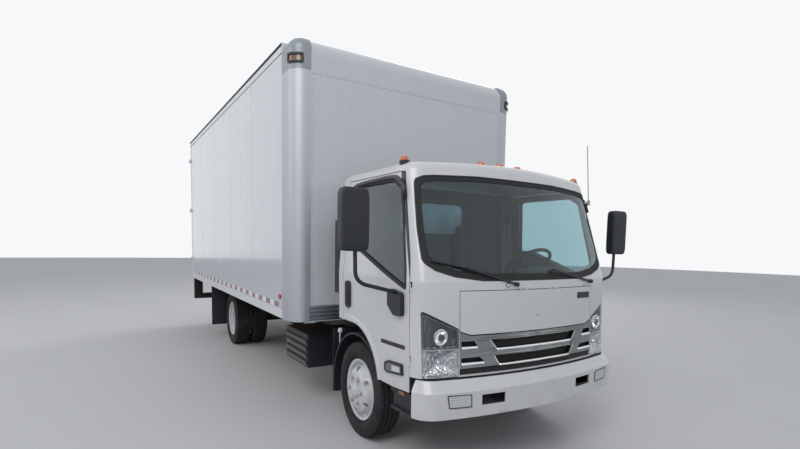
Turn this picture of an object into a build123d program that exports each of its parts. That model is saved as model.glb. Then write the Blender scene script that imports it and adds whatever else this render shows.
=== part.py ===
from build123d import *
import math
import os

os.makedirs("parts", exist_ok=True)

# Lengths are in millimetres. X is 0 on the centreline and grows to the vehicle's left.
# Y is measured here from the front axle and grows to the rear. Z is up from the ground.
# Every piece is moved by axle_shift when it is written, so that Y is 0 at mid length.

# Main sizes
front_overhang = 1245
wheelbase = 4470
box_rear = 6830
lock_bar_out = 22
lock_bar_r = 14
rear_overhang = box_rear + lock_bar_out + lock_bar_r - wheelbase
overall_length = front_overhang + wheelbase + rear_overhang
axle_shift = front_overhang - overall_length / 2
seat = 0.3
running = 0.05
door_gap = 6

# Wheels
tyre_r = 404.5
tyre_half = 113
tread_half = 84
bead_r = 247.3
wheel_offset = 127
disc_t = 12
wheel_z = tyre_r
front_track_half = 832.5
kingpin_x = 715
rear_dual_x = 825
boss_half = 40
ring_t = 35
kingpin_r = 15
spindle_r = 30
rear_spindle_r = 45
drum_r = 190
hub_face_r = 145
stud_circle_r = 111.125
stud_count = 6

# Frame rails
rail_out = 425
rail_in = 355
rail_low = 640
rail_top = 840
rail_wall = 8
rail_front = -900
rail_rear = 6560

# Cab
cab_levels = [
    # height, half width, nose y
    (600, 985, -1168),
    (1400, 997.5, -1135),
    (2165, 945, -885),
]
nose_r = 3600
cab_corner_r = 160
cab_back = 360
cab_back_r = 90
roof_top = 2275
roof_drop = 45
roof_edge_r = 85
cab_wall = 60
roof_wall = 45
cab_door_t = 54
fender_low = 745
sill_front_z = 632
sill_rear_z = 606
arch_centre_z = 508
arch_r = 483
arch_top = arch_centre_z + arch_r
cab_floor_top = 1030
bulkhead_front = -1000
bulkhead_rear = -930
tunnel_half = 468
door_front = -922
door_rear = 195
door_top = 2170
lid_half = 685
lid_low = 1030
lid_top = 1342
pivot_y = -1020
pivot_z = 780
pivot_r = 16
pivot_end = 462

# Front bumper
bumper_levels = [
    # height, half width, nose y
    (480, 1005, -1245),
    (660, 1005, -1245),
    (735, 985, -1190),
]
bumper_wall = 12
bumper_end = -985
plate_hole_x = 88.9
plate_hole_z = 620
plate_hole_r = 3.5

# Load box
box_front = 664
box_half = 1295
box_low = 905
box_high = 3484
box_corner_r = 130
wall_t = 40
post_side = 300
post_front = 176
cap_low = 3190
cap_top_r = 110
front_rail_r = 150
floor_top = 1015
rail_side_h = 80
top_rail_low = 3394
frame_d = 80
frame_w = 60
rear_axis_x = 1310
rear_axis_y = 6846


def block(x0, x1, y0, y1, z0, z1):
    """A block between two corners."""
    centre = Pos((x0 + x1) / 2, (y0 + y1) / 2, (z0 + z1) / 2)
    return centre * Box(x1 - x0, y1 - y0, z1 - z0)


def outline(points, radius=0):
    """A flat face from its corner points, each rounded by the radius or by what its sides allow."""
    if radius == 0:
        return make_face(Polyline(*points, close=True))
    count = len(points)
    corners = []
    for k in range(count):
        at = Vector(*points[k])
        back = Vector(*points[k - 1]) - at
        ahead = Vector(*points[(k + 1) % count]) - at
        half = math.radians(back.get_angle(ahead)) / 2
        if half > math.radians(88.5):
            corners.append((at, None, at))
            continue
        cut = min(radius / math.tan(half), 0.45 * min(back.length, ahead.length))
        mean = (back.normalized() + ahead.normalized()).normalized()
        bend = cut * math.tan(half)
        middle = at + mean * (bend / math.sin(half) - bend)
        corners.append((at + back.normalized() * cut, middle, at + ahead.normalized() * cut))
    edges = []
    for k in range(count):
        start, middle, end = corners[k]
        if middle is not None:
            edges.append(ThreePointArc(start, middle, end))
        edges.append(Line(end, corners[(k + 1) % count][0]))
    return make_face(edges)


def plate_x(face, x0, x1):
    """A side outline of (y, z), drawn from x0 to x1."""
    return extrude(Plane.YZ.offset(x0) * face, amount=x1 - x0, dir=(1, 0, 0))


def plate_y(face, y0, y1):
    """A front outline of (x, z), drawn from y0 to y1."""
    return extrude(Plane.XZ.offset(-y0) * face, amount=y1 - y0, dir=(0, 1, 0))


def plate_z(face, z0, z1):
    """A plan outline of (x, y), drawn from z0 to z1."""
    return extrude(Plane.XY.offset(z0) * face, amount=z1 - z0, dir=(0, 0, 1))


def rod(a, b, radius):
    """A round bar from point a to point b."""
    a = Vector(*a)
    b = Vector(*b)
    return Solid.make_cylinder(radius, (b - a).length, Plane(origin=a, z_dir=b - a))


def pipe_run(points, radius):
    """A bent pipe as bars with a ball at each bend."""
    run = rod(points[0], points[1], radius)
    for a, b in zip(points[1:], points[2:]):
        run = run + Pos(*a) * Sphere(radius) + rod(a, b, radius)
    return run


def turned(points):
    """A body turned about the X axis from (x, radius) points."""
    return revolve(make_face(Polyline(*points, close=True)), Axis.X)


def mirrored(shape):
    """The same shape on the other side of the centreline."""
    return mirror(shape, about=Plane.YZ)


def pair(shape):
    """A shape and its mirror image."""
    return [shape, mirrored(shape)]


def save(node, *shapes):
    """Write one node's solids, moved so that Y is 0 at mid length."""
    solids = []
    for shape in shapes:
        solids.extend(shape.solids())
    whole = Compound(solids).moved(Location((0, axle_shift, 0)))
    export_step(whole, "parts/" + node + ".step")


def plan_wire(z, half, nose, radius, corner, back, back_radius):
    """Plan outline at one height: nose arc, corner arcs, sides, rounded back corners."""
    centre = nose + radius
    kx = half - corner
    ky = centre - math.sqrt((radius - corner) ** 2 - kx ** 2)
    reach = radius / (radius - corner)
    tx = kx * reach
    ty = centre + (ky - centre) * reach
    turn = math.atan2(ty - ky, tx - kx) / 2
    mx = kx + corner * math.cos(turn)
    my = ky + corner * math.sin(turn)
    bx = half - back_radius
    by = back - back_radius
    s = back_radius * math.sqrt(0.5)
    edges = [
        ThreePointArc((-tx, ty, z), (0, nose, z), (tx, ty, z)),
        ThreePointArc((tx, ty, z), (mx, my, z), (half, ky, z)),
        Line((half, ky, z), (half, by, z)),
        ThreePointArc((half, by, z), (bx + s, by + s, z), (bx, back, z)),
        Line((bx, back, z), (-bx, back, z)),
        ThreePointArc((-bx, back, z), (-bx - s, by + s, z), (-half, by, z)),
        Line((-half, by, z), (-half, ky, z)),
        ThreePointArc((-half, ky, z), (-mx, my, z), (-tx, ty, z)),
    ]
    return Wire(edges)


def level_at(levels, z):
    """Half width and nose y at height z, along the straight lines between the levels."""
    for low, high in zip(levels, levels[1:]):
        if z <= high[0]:
            break
    part = (z - low[0]) / (high[0] - low[0])
    half = low[1] + (high[1] - low[1]) * part
    nose = low[2] + (high[2] - low[2]) * part
    return half, nose


def cab_form(inset, low, high):
    """The cab's outer form, moved in by inset, between two heights."""
    heights = [low] + [z for z, _, _ in cab_levels if low < z < high] + [high]
    wires = []
    for z in heights:
        half, nose = level_at(cab_levels, z)
        wires.append(
            plan_wire(
                z, half - inset, nose + inset, nose_r - inset,
                cab_corner_r - inset, cab_back - inset, max(cab_back_r - inset, 20),
            )
        )
    form = Solid.make_loft(wires[:2], ruled=True)
    for a, b in zip(wires[1:], wires[2:]):
        form = form + Solid.make_loft([a, b], ruled=True)
    return form


def roof_cut(form, top):
    """Trim a form with the roof's long crown."""
    side = cab_levels[1][1]
    face = make_face(
        [
            ThreePointArc((-side, top - roof_drop), (0, top), (side, top - roof_drop)),
            Line((side, top - roof_drop), (side, 0)),
            Line((side, 0), (-side, 0)),
            Line((-side, 0), (-side, top - roof_drop)),
        ]
    )
    return form & plate_y(face, -1500, 600)


# Cab outer form and hollow
cab_outer = roof_cut(cab_form(0, 600, 2330), roof_top)
crown = cab_outer.faces().sort_by(Axis.Z)[-1]
cab_outer = fillet(crown.edges(), roof_edge_r)
cab_inner = roof_cut(cab_form(cab_wall, 610, 2330), roof_top - roof_wall)
door_skin = cab_form(cab_door_t, 590, 2340)
lid_skin = cab_form(18, 590, 1510)
lamp_skin = cab_form(90, 590, 1510)

# Side outline of the cab under its sills and wheel arch, as what is cut away
arch_mid = arch_r * math.sqrt(0.5)
arch_low_y = -math.sqrt(arch_r ** 2 - (sill_rear_z - arch_centre_z) ** 2)
under_face = make_face(
    [
        Line((-1400, 400), (-1400, fender_low)),
        Line((-1400, fender_low), (door_front, fender_low)),
        Line((door_front, fender_low), (door_front, sill_front_z)),
        Line((door_front, sill_front_z), (arch_low_y, sill_rear_z)),
        ThreePointArc(
            (arch_low_y, sill_rear_z), (-arch_mid, arch_centre_z + arch_mid), (0, arch_top)
        ),
        Line((0, arch_top), (600, arch_top)),
        Line((600, arch_top), (600, 400)),
        Line((600, 400), (-1400, 400)),
    ]
)
cab_under = plate_x(under_face, -1200, 1200)

# Foot well hollow, one side
well_r = arch_r + 37
well_low_y = -math.sqrt(well_r ** 2 - (645 - arch_centre_z) ** 2)
well_end_y = -math.sqrt(well_r ** 2 - (cab_floor_top - 3 - arch_centre_z) ** 2 + 1000)
well_mid = well_r * math.sqrt(0.5)
well_face = make_face(
    [
        Line((bulkhead_rear, 668), (well_low_y, 645)),
        ThreePointArc(
            (well_low_y, 645),
            (-well_mid, arch_centre_z + well_mid),
            (-20, arch_centre_z + math.sqrt(well_r ** 2 - 400)),
        ),
        Line((-20, arch_centre_z + math.sqrt(well_r ** 2 - 400)), (-20, cab_floor_top + 20)),
        Line((-20, cab_floor_top + 20), (bulkhead_rear, cab_floor_top + 20)),
        Line((bulkhead_rear, cab_floor_top + 20), (bulkhead_rear, 668)),
    ]
)
foot_well = plate_x(well_face, tunnel_half + 45, cab_levels[0][1] - cab_wall + 20)

# Door outlines in side view
door_points = [
    (door_front - 3, sill_front_z - 60),
    (door_front + 4, 1400),
    (-890, 1546),
    (-714, door_top),
    (door_rear - 5, door_top),
    (door_rear, 1560),
    (door_rear, sill_front_z - 60),
]


def door_cut(gap, rear_gap, x0, x1):
    """The door's prism, drawn in by a gap on every side."""
    points = [
        (door_points[0][0] + gap, door_points[0][1]),
        (door_points[1][0] + gap, door_points[1][1]),
        (door_points[2][0] + gap, door_points[2][1]),
        (door_points[3][0] + gap, door_points[3][1] - gap),
        (door_points[4][0] - rear_gap, door_points[4][1] - gap),
        (door_points[5][0] - rear_gap, door_points[5][1]),
        (door_points[6][0] - rear_gap, door_points[6][1]),
    ]
    return plate_x(outline(points), x0, x1)


window_points = [
    (-866, 1352),
    (-526, 1458),
    (-121, 1596),
    (75, 1604),
    (62, 2112),
    (-590, 2110),
    (-716, 2040),
    (-852, 1476),
]
screen_half_points = [
    # half outline from the bottom middle to the top middle
    (500, 1404), (714, 1432), (850, 1474), (927, 1530),
    (924, 1751), (909, 1960), (897, 2095), (850, 2158), (400, 2172),
]
screen_rebate = 12
screen_frame = 42
rear_window_half = 370
rear_window_low = 1760
rear_window_high = 2050
lamp_points = [(688, 745), (940, 745), (950, 1208), (688, 1078)]
lamp_rear = -955

# Door hinge axis and its two barrels
hinge_x = 987
hinge_y = door_front
hinge_r = 7
hinge_heights = [820, 1330]
hinge_len = 30

screen_points = [(-x, z) for x, z in reversed(screen_half_points)] + screen_half_points
screen_face = outline(screen_points, 24)
inner_points = []
for x, z in screen_half_points:
    inner_points.append((x - screen_frame, z + (screen_frame if z < 1600 else 0) - (screen_frame if z > 2120 else 0)))
inner_points = [(-x, z) for x, z in reversed(inner_points)] + inner_points
windscreen_cut = plate_y(outline(inner_points, 16), -1400, -400)
windscreen_cut = windscreen_cut + (plate_y(screen_face, -1400, -500) - cab_form(screen_rebate, 590, 2340))
rear_window_cut = plate_y(
    Pos(0, (rear_window_low + rear_window_high) / 2)
    * RectangleRounded(2 * rear_window_half, rear_window_high - rear_window_low, 45),
    200, 500,
)
lamp_cut = plate_y(outline(lamp_points, 10), -1400, lamp_rear) - lamp_skin
front_recess = block(-lid_half, lid_half, -1400, bulkhead_front, 755, lid_top)

cabin = cab_inner - block(-1200, 1200, -1400, 600, 400, cab_floor_top)
cabin = cabin - block(-1200, 1200, -1400, bulkhead_rear, 400, 1385)

shell = cab_outer - cab_under - cabin
shell = shell - block(-tunnel_half, tunnel_half, -1085, 600, 400, 880)
shell = shell - block(-tunnel_half, tunnel_half, -450, 600, 400, arch_top)
shell = shell - windscreen_cut - rear_window_cut - front_recess
for side in pair(lamp_cut):
    shell = shell - side
for side in pair(foot_well):
    shell = shell - side
opening = door_cut(0, 0, 700, 1200) - cab_form(cab_wall, 560, 2340)
for side in pair(opening):
    shell = shell - side
for z in hinge_heights:
    lug = Pos(hinge_x, hinge_y, z + hinge_len / 2) * Cylinder(hinge_r, hinge_len)
    web = block(955, hinge_x, hinge_y - 18, hinge_y, z, z + hinge_len)
    notch = block(940, 1010, hinge_y - 13, hinge_y + 8, z + hinge_len, z + 2 * hinge_len + 8)
    for side in pair(notch):
        shell = shell - side
    for side in pair(lug + web):
        shell = shell + side
lug_face = outline([(pivot_y - 25, 900), (-940, 900), (-940, 870), (pivot_y + 25, 755), (pivot_y - 25, 755)], 12)
pivot_lug = plate_x(lug_face, rail_out + 7, pivot_end)
pivot_lug = pivot_lug - rod((400, pivot_y, pivot_z), (500, pivot_y, pivot_z), pivot_r + running)
for side in pair(pivot_lug):
    shell = shell + side
lid_axis_y = level_at(cab_levels, lid_top)[1] - 2
lid_axis_z = lid_top + 1
for x in (-150, 150):
    notch = block(x - 20 - seat, x + 20 + seat, lid_axis_y - 10, lid_axis_y + 9, lid_top - 1, lid_axis_z + 8)
    shell = shell - notch
    for x0, x1 in [(x - 34, x - 20 - seat), (x + 20 + seat, x + 34)]:
        shell = shell + rod((x0, lid_axis_y, lid_axis_z), (x1, lid_axis_y, lid_axis_z), 6)
        shell = shell + block(x0, x1, lid_axis_y, lid_axis_y + 14, lid_axis_z, lid_axis_z + 12)
save("cab_shell", shell)

# Glass of the cab body
pane_out = 4
screen = plate_y(offset(screen_face, -seat), -1400, -500) & cab_form(pane_out, 600, 2330)
screen = screen - cab_form(screen_rebate - seat, 590, 2340)
rear_pane = plate_y(
    Pos(0, (rear_window_low + rear_window_high) / 2)
    * RectangleRounded(2 * rear_window_half - 0.6, rear_window_high - rear_window_low - 0.6, 45),
    cab_back - 30, cab_back - 24,
)
save("cab_glass", screen, rear_pane)

# Front lid
lid = (cab_outer - lid_skin) & block(-lid_half + 5, lid_half - 5, -1400, -900, lid_low + 3, lid_top - 5)
for x in (-150, 150):
    lid = lid + rod((x - 20, lid_axis_y, lid_axis_z), (x + 20, lid_axis_y, lid_axis_z), 6)
    lid = lid + block(x - 20, x + 20, lid_axis_y, lid_axis_y + 8, lid_axis_z - 14, lid_axis_z)
save("front_lid", lid)

# Grille, bars and slots, drawn in the curve of the nose
grille_skin = cab_form(34, 590, 1510)
grille_face = block(-lid_half + seat, lid_half - seat, -1400, -900, 755 + seat, lid_low - 3)
grille = (cab_outer - grille_skin) & grille_face
for low, high in [(862, 902), (962, 1000)]:
    main = outline([(-365, low), (365, low), (410, high), (-410, high)], 4)
    grille = grille - plate_y(main, -1400, -900)
    end = outline([(590, low), (688, low), (688, high), (620, high)], 4)
    for side in pair(plate_y(end, -1400, -900)):
        grille = grille - side
save("grille", grille)

# Headlamps, as a clear front and a body behind it
lens_skin = cab_form(8, 590, 1510)
body_skin = cab_form(88, 590, 1510)
lamp_in = plate_y(
    outline([(688.3, 745.3), (939.7, 745.3), (949.7, 1207.5), (688.3, 1077.7)], 10), -1400, lamp_rear - seat
)
lens = (cab_outer - lens_skin) & lamp_in
lamp_body = (cab_form(30, 600, 1500) - body_skin) & lamp_in
save("headlamp_lenses", *pair(lens))
save("headlamp_bodies", *pair(lamp_body))

# Doors
door = (cab_outer - door_skin) & door_cut(door_gap, door_gap + 2, 700, 1200)
door = door - (cab_form(16, 590, 2340) & block(700, 1200, door_rear - 19, door_rear + 1, 560, 2300))
door = door - plate_x(under_face, 0, 1200)
door = door - block(700, 1200, -1400, 600, 0, 618)
window_cut = plate_x(outline(window_points, 22), 700, 1200)
door = door - window_cut
for z in hinge_heights:
    lug = Pos(hinge_x, hinge_y, z + 1.5 * hinge_len + seat) * Cylinder(hinge_r, hinge_len)
    web = block(955, hinge_x, hinge_y, hinge_y + 22, z + hinge_len + seat, z + 2 * hinge_len + seat)
    notch = block(940, 1010, hinge_y - 1, hinge_y + 13, z - 8, z + hinge_len + seat)
    door = door - notch + lug + web
side_lean = math.degrees(math.atan2(cab_levels[1][1] - cab_levels[2][1], cab_levels[2][0] - cab_levels[1][0]))
slab_at = Location((cab_levels[1][1] - 16, -400, cab_levels[1][0]), (0, -side_lean, 0))
pane = plate_x(offset(outline(window_points, 22), -seat), 700, 1200) & (slab_at * Box(5, 1200, 1800))
mirror_arm = pipe_run(
    [(985, -790, 1250), (1060, -790, 1330), (1330, -800, 1400), (1345, -800, 1640)], 13
)
mirror_case = Pos(1360, -805, 1805) * fillet(Box(196, 90, 410).edges(), 22)
mirror_case = mirror_case - block(1275, 1445, -763, -700, 1615, 1995)
mirror_foot = fillet(block(986, 1040, -850, -690, 1165, 1330).edges().filter_by(Axis.Z), 14)
mirror_set = mirror_foot + mirror_arm + mirror_case
mirror_set = mirror_set - (cab_form(-seat, 600, 1500))
handle = fillet(block(960, 1016, 30, 142, 1108, 1332).edges().filter_by(Axis.X), 20)
handle = handle - cab_form(-seat, 600, 1500)
save("door_left", door)
save("door_right", mirrored(door))
save("door_glass_left", pane)
save("door_glass_right", mirrored(pane))
save("mirror_left", mirror_set, handle)
save("mirror_right", mirrored(mirror_set), mirrored(handle))

# Cab inside
dash = plate_x(
    outline(
        [(bulkhead_rear + seat, 1040), (bulkhead_rear + seat, 1380), (-700, 1400), (-640, 1330),
         (-660, 1180), (-740, 1060)],
        20,
    ),
    -870, 870,
)
wheel_tilt = 40
steer_at = Location((450, -560, 1490), (-wheel_tilt, 0, 0))
steering = steer_at * Torus(215, 15)
steering = steering + steer_at * Cylinder(42, 40)
for turn in (90, 210, 330):
    steering = steering + steer_at * (Rot(0, 0, turn) * Pos(125, 0, 0) * Box(190, 26, 14))
column = rod((450, -560, 1490), (450, -663.8, 1366.2), 28)
save("dashboard", dash)
save("steering_wheel", steering + column)
seat_units = []
for x0, x1 in [(-900, -430), (-410, 120), (210, 710)]:
    base = block(x0 + 40, x1 - 40, -330, 130, cab_floor_top, 1200)
    cushion = fillet(block(x0, x1, -380, 150, 1200, 1330).edges(), 35)
    back_face = outline([(90, 1300), (200, 1300), (285, 1960), (185, 1960)], 30)
    back = plate_x(back_face, x0 + 10, x1 - 10)
    seat_units.append(base + cushion + back)
save("seats", *seat_units)

# Steps and the black strip under the front
step = block(620, 948, -925, -600, 430, 455) + block(620, 948, -925, -600, 560, 600)
for x in (620, 900):
    step = step + block(x, x + 25, -915, -600, 430, 660)
strip = (cab_form(14, 600, 800) - cab_form(44, 590, 810)) & block(-1100, 1100, -1400, -955, 700, fender_low - seat)
step = step & plate_x(under_face, 0, 1200).moved(Location((0, 0, -seat)))
save("cab_lower_trim", *pair(step), strip)

# Small pieces on the cab
lamp_solids = []
for x in (-896, -193, 0, 193, 896):
    z_top = roof_top - roof_drop * (x / cab_levels[1][1]) ** 2
    lamp = Pos(x, -650, z_top + 2) * Cylinder(34, 44)
    lamp_solids.append(lamp - cab_outer)
save("roof_lamps", *lamp_solids)
duct = block(-960, -800, cab_back + seat, cab_back + 110, 1200, 1850)
save("air_duct", duct)
blades = []
wiper_table = [
    # pivot x, blade low end (x, z), blade high end (x, z)
    (-222, (-385, 1447), (-870, 1546)),
    (655, (495, 1452), (-150, 1506)),
]


def on_screen(x, z, out):
    """A point that stands out by a distance ahead of the cab's nose surface."""
    half, nose = level_at(cab_levels, z)
    kx = half - cab_corner_r
    centre = nose + nose_r
    reach = nose_r / (nose_r - cab_corner_r)
    if abs(x) <= kx * reach:
        y = centre - math.sqrt(nose_r ** 2 - x ** 2)
    else:
        ky = centre - math.sqrt((nose_r - cab_corner_r) ** 2 - kx ** 2)
        y = ky - math.sqrt(cab_corner_r ** 2 - (abs(x) - kx) ** 2)
    return (x, y - out, z)


for px, low, high in wiper_table:
    pivot = rod(on_screen(px, 1380, -6), on_screen(px, 1380, 26), 15)
    middle = ((low[0] + high[0]) / 2, (low[1] + high[1]) / 2)
    arm = rod(on_screen(px, 1380, 20), on_screen(*middle, 24), 8)
    steps = [
        on_screen(low[0] + (high[0] - low[0]) * k / 4, low[1] + (high[1] - low[1]) * k / 4, 10)
        for k in range(5)
    ]
    blades.append(arm + pivot + pipe_run(steps, 7) + rod(on_screen(*middle, 6), on_screen(*middle, 24), 9))
save("wipers", *[b - cab_outer for b in blades])
whip = rod((961, -785, 2050), (892, -800, 2560), 4)
foot = rod((910, -748, 2060), (962, -785, 2060), 9) - cab_form(-seat, 600, 2330)
whip = whip + foot + Pos(962, -785, 2062) * Cylinder(13, 44)
save("antenna", whip)

# Front bumper
bumper_wires = []
bumper_inner = []
for z, half, nose in bumper_levels:
    bumper_wires.append(plan_wire(z, half, nose, nose_r, 170, -500, 40))
for z, half, nose in [(479, 993, -1233), (660, 993, -1233), (736, 973, -1178)]:
    bumper_inner.append(plan_wire(z, half, nose, nose_r - bumper_wall, 158, -400, 40))
bumper = Solid.make_loft(bumper_wires[:2], ruled=True) + Solid.make_loft(bumper_wires[1:], ruled=True)
hollow = Solid.make_loft(bumper_inner[:2], ruled=True) + Solid.make_loft(bumper_inner[1:], ruled=True)
bumper = bumper - hollow
bumper = bumper - block(-1100, 1100, bumper_end, 0, 400, 800)
for side in pair(block(367, 563, -1400, -1100, 555, 630)):
    bumper = bumper - side
arm_back = rail_front - seat
arm_face = outline(
    [(arm_back, 720), (arm_back, 560), (-1000, 500), (-1234, 500), (-1234, 545), (-980, 590), (-950, 720)]
)
for side in pair(plate_x(arm_face, rail_in, rail_out)):
    bumper = bumper + side
for side in pair(rod((plate_hole_x, -1300, plate_hole_z), (plate_hole_x, -1100, plate_hole_z), plate_hole_r)):
    bumper = bumper - side
save("front_bumper", bumper)

# Frame
rail = block(rail_in, rail_out, rail_front, rail_rear, rail_low, rail_top)
rail = rail - block(rail_in - 1, rail_out - rail_wall, rail_front - 1, rail_rear + 1,
                    rail_low + rail_wall, rail_top - rail_wall)
frame = rail + mirrored(rail)
for y, low in [(-860, 660), (620, 730), (1700, 660), (2900, 660), (3700, 660), (5150, 660), (6500, 660)]:
    frame = frame + block(-rail_out + 4, rail_out - 4, y - 30, y + 30, low, rail_top - 20)
frame = frame + block(-rail_out, rail_out, 270, 330, rail_top - 20, arch_top - seat)
for x in (rail_in, -rail_out):
    frame = frame + block(x, x + rail_out - rail_in, pivot_y - 24, rail_front + 20, 745, 815)
    for y in (-600, 600):
        frame = frame + block(x, x + rail_out - rail_in, y - 45, y + 45, 598 + seat, rail_low + 1)
frame = frame + rod((-pivot_end, pivot_y, pivot_z), (pivot_end, pivot_y, pivot_z), pivot_r)
for s in (1, -1):
    x0, x1 = sorted((s * (rail_out - 4), s * 535))
    for y in (wheelbase - 650, wheelbase + 650):
        frame = frame + block(x0, x1, y - 45, y + 45, 688 + seat, 800)
save("frame_rails", frame)

# Axles and springs
front_spring_low = 440
rear_spring_low = 500
beam_half_points = [
    # x, height from the wheel centre, from the bottom middle to the top middle
    (560, -105), (650, -40), (690, -40), (690, 40), (640, 40), (540, -25),
]
beam_points = [(x, wheel_z + dz) for x, dz in beam_half_points]
beam_points = beam_points + [(-x, z) for x, z in reversed(beam_points)]
beam = plate_y(outline(beam_points), -38, 38)
for side in pair(Pos(kingpin_x, 0, wheel_z) * Cylinder(34, 2 * boss_half)):
    beam = beam + side
for side in pair(block(rail_in, rail_out, -60, 60, wheel_z - 35, front_spring_low)):
    beam = beam + side
for side in pair(Pos(kingpin_x, 0, wheel_z) * Cylinder(kingpin_r + running, 2 * boss_half + 10)):
    beam = beam - side
save("front_axle", beam)


def leaf_spring(x0, x1, y_mid, half, z_mid, z_end, thick):
    """A bow of leaves with an eye at each end."""
    face = make_face(
        [
            ThreePointArc((y_mid - half, z_end), (y_mid, z_mid), (y_mid + half, z_end)),
            Line((y_mid + half, z_end), (y_mid + half, z_end + 16)),
            ThreePointArc((y_mid + half, z_end + 16), (y_mid, z_mid + thick), (y_mid - half, z_end + 16)),
            Line((y_mid - half, z_end + 16), (y_mid - half, z_end)),
        ]
    )
    spring = plate_x(face, x0, x1)
    for y in (y_mid - half, y_mid + half):
        spring = spring + rod((x0, y, z_end + 8), (x1, y, z_end + 8), 28)
    return spring


front_spring = leaf_spring(rail_in, rail_out, 0, 600, front_spring_low, 562, 58)
rear_spring = leaf_spring(465, 535, wheelbase, 650, rear_spring_low, 652, 90)
save("leaf_springs", *pair(front_spring), *pair(rear_spring))

axle = rod((-645, wheelbase, wheel_z), (645, wheelbase, wheel_z), 68)
axle = axle + rod((0, wheelbase - 90, wheel_z), (0, wheelbase + 120, wheel_z), 175)
axle = axle + rod((0, wheelbase - 300, wheel_z + 15), (0, wheelbase - 80, wheel_z + 15), 65)
axle = axle + rod((-905, wheelbase, wheel_z), (905, wheelbase, wheel_z), rear_spindle_r)
for s in (1, -1):
    axle = axle + block(min(s * 465, s * 535), max(s * 465, s * 535),
                        wheelbase - 65, wheelbase + 65, wheel_z, rear_spring_low)
    axle = axle + rod((s * 625, wheelbase, wheel_z), (s * 640, wheelbase, wheel_z), 180)
save("rear_axle", axle)

ring_low = boss_half + seat
knuckle = Pos(kingpin_x, 0, wheel_z) * Cylinder(kingpin_r, 2 * ring_low + 2 * ring_t)
for low in (wheel_z + ring_low, wheel_z - ring_low - ring_t):
    knuckle = knuckle + Pos(kingpin_x, 0, low + ring_t / 2) * Cylinder(34, ring_t)
    knuckle = knuckle + block(kingpin_x, 765, -26, 26, low, low + ring_t)
knuckle = knuckle + rod((757, 0, wheel_z), (765, 0, wheel_z), 165)
knuckle = knuckle + rod((757, 0, wheel_z), (930, 0, wheel_z), spindle_r)
save("knuckle_left", knuckle)
save("knuckle_right", mirrored(knuckle))

# Wheels, drawn on the X axis with the rim's middle at x = 0
barrel_points = [
    (88, 260.5), (80, 260.5), (76, 247.3), (52, 247.3), (38, 224), (-38, 224), (-52, 247.3),
    (-76, 247.3), (-80, 260.5), (-88, 260.5), (-88, 250), (-82, 237), (-57, 237), (-43, 214),
    (43, 214), (57, 237), (82, 237), (88, 250),
]
barrel = turned(barrel_points)
tyre_face = make_face(
    [
        Line((-75.7, bead_r + seat), (75.7, bead_r + seat)),
        Line((75.7, bead_r + seat), (79, 263)),
        ThreePointArc((79, 263), (tyre_half, 325), (98, 388)),
        ThreePointArc((98, 388), (93, 399), (tread_half, tyre_r)),
        Line((tread_half, tyre_r), (-tread_half, tyre_r)),
        ThreePointArc((-tread_half, tyre_r), (-93, 399), (-98, 388)),
        ThreePointArc((-98, 388), (-tyre_half, 325), (-79, 263)),
        Line((-79, 263), (-75.7, bead_r + seat)),
    ]
)
tyre = revolve(tyre_face, Axis.X)
disc = turned(
    [(wheel_offset - disc_t, 60), (wheel_offset, 60), (wheel_offset, 145), (108, 186), (74, 205),
     (48, 226), (30, 218), (62, 196), (98, 178), (wheel_offset - disc_t, 138)]
)
for k in range(stud_count):
    turn = 2 * math.pi * (k + 0.5) / stud_count
    hole = Pos(0, 178 * math.cos(turn), 178 * math.sin(turn)) * (
        Rot(0, 90, 0) * Cylinder(22, 400)
    )
    disc = disc - hole
rim = barrel + disc
nuts = None
for k in range(stud_count):
    turn = 2 * math.pi * k / stud_count
    y = stud_circle_r * math.cos(turn)
    z = stud_circle_r * math.sin(turn)
    nut = rod((wheel_offset - disc_t, y, z), (wheel_offset + 24, y, z), 15)
    nuts = nut if nuts is None else nuts + nut

front_hub = turned(
    [(-30, spindle_r + running), (102, spindle_r + running), (102, 0), (wheel_offset + 22, 0),
     (wheel_offset + 22, 52), (wheel_offset + 10, 62), (wheel_offset - disc_t, 62),
     (wheel_offset - disc_t, hub_face_r), (wheel_offset - disc_t - 14, hub_face_r),
     (80, drum_r), (-50, drum_r), (-50, drum_r - 12), (70, drum_r - 12), (95, 120), (60, 70), (-30, 60)]
)
front_wheel = rim + front_hub + nuts
rear_hub = turned(
    [(-178, rear_spindle_r + running), (82, rear_spindle_r + running), (82, 0), (100, 0), (100, 78),
     (90, 88), (disc_t, 92), (disc_t, 100), (-disc_t, 100), (-disc_t, hub_face_r), (-disc_t - 14, hub_face_r),
     (-26, drum_r), (-172, drum_r), (-172, drum_r - 12), (-40, drum_r - 12), (-40, 90), (-178, 80)]
)
outer_rim = Pos(wheel_offset, 0, 0) * mirrored(rim)
inner_rim = Pos(-wheel_offset, 0, 0) * rim
rear_nuts = Pos(disc_t - wheel_offset + disc_t - 12, 0, 0) * nuts
rear_wheel = outer_rim + inner_rim + rear_hub + rear_nuts
front_at = Location((front_track_half, 0, wheel_z))
rear_at = Location((rear_dual_x, wheelbase, wheel_z))
save("front_rim_left", front_wheel.moved(front_at))
save("front_rim_right", mirrored(front_wheel.moved(front_at)))
save("front_tyre_left", tyre.moved(front_at))
save("front_tyre_right", mirrored(tyre.moved(front_at)))
rear_tyres = [Pos(wheel_offset, 0, 0) * tyre, Pos(-wheel_offset, 0, 0) * tyre]
save("rear_rims_left", rear_wheel.moved(rear_at))
save("rear_rims_right", mirrored(rear_wheel.moved(rear_at)))
save("rear_tyres_left", *[t.moved(rear_at) for t in rear_tyres])
save("rear_tyres_right", *[mirrored(t.moved(rear_at)) for t in rear_tyres])

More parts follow.
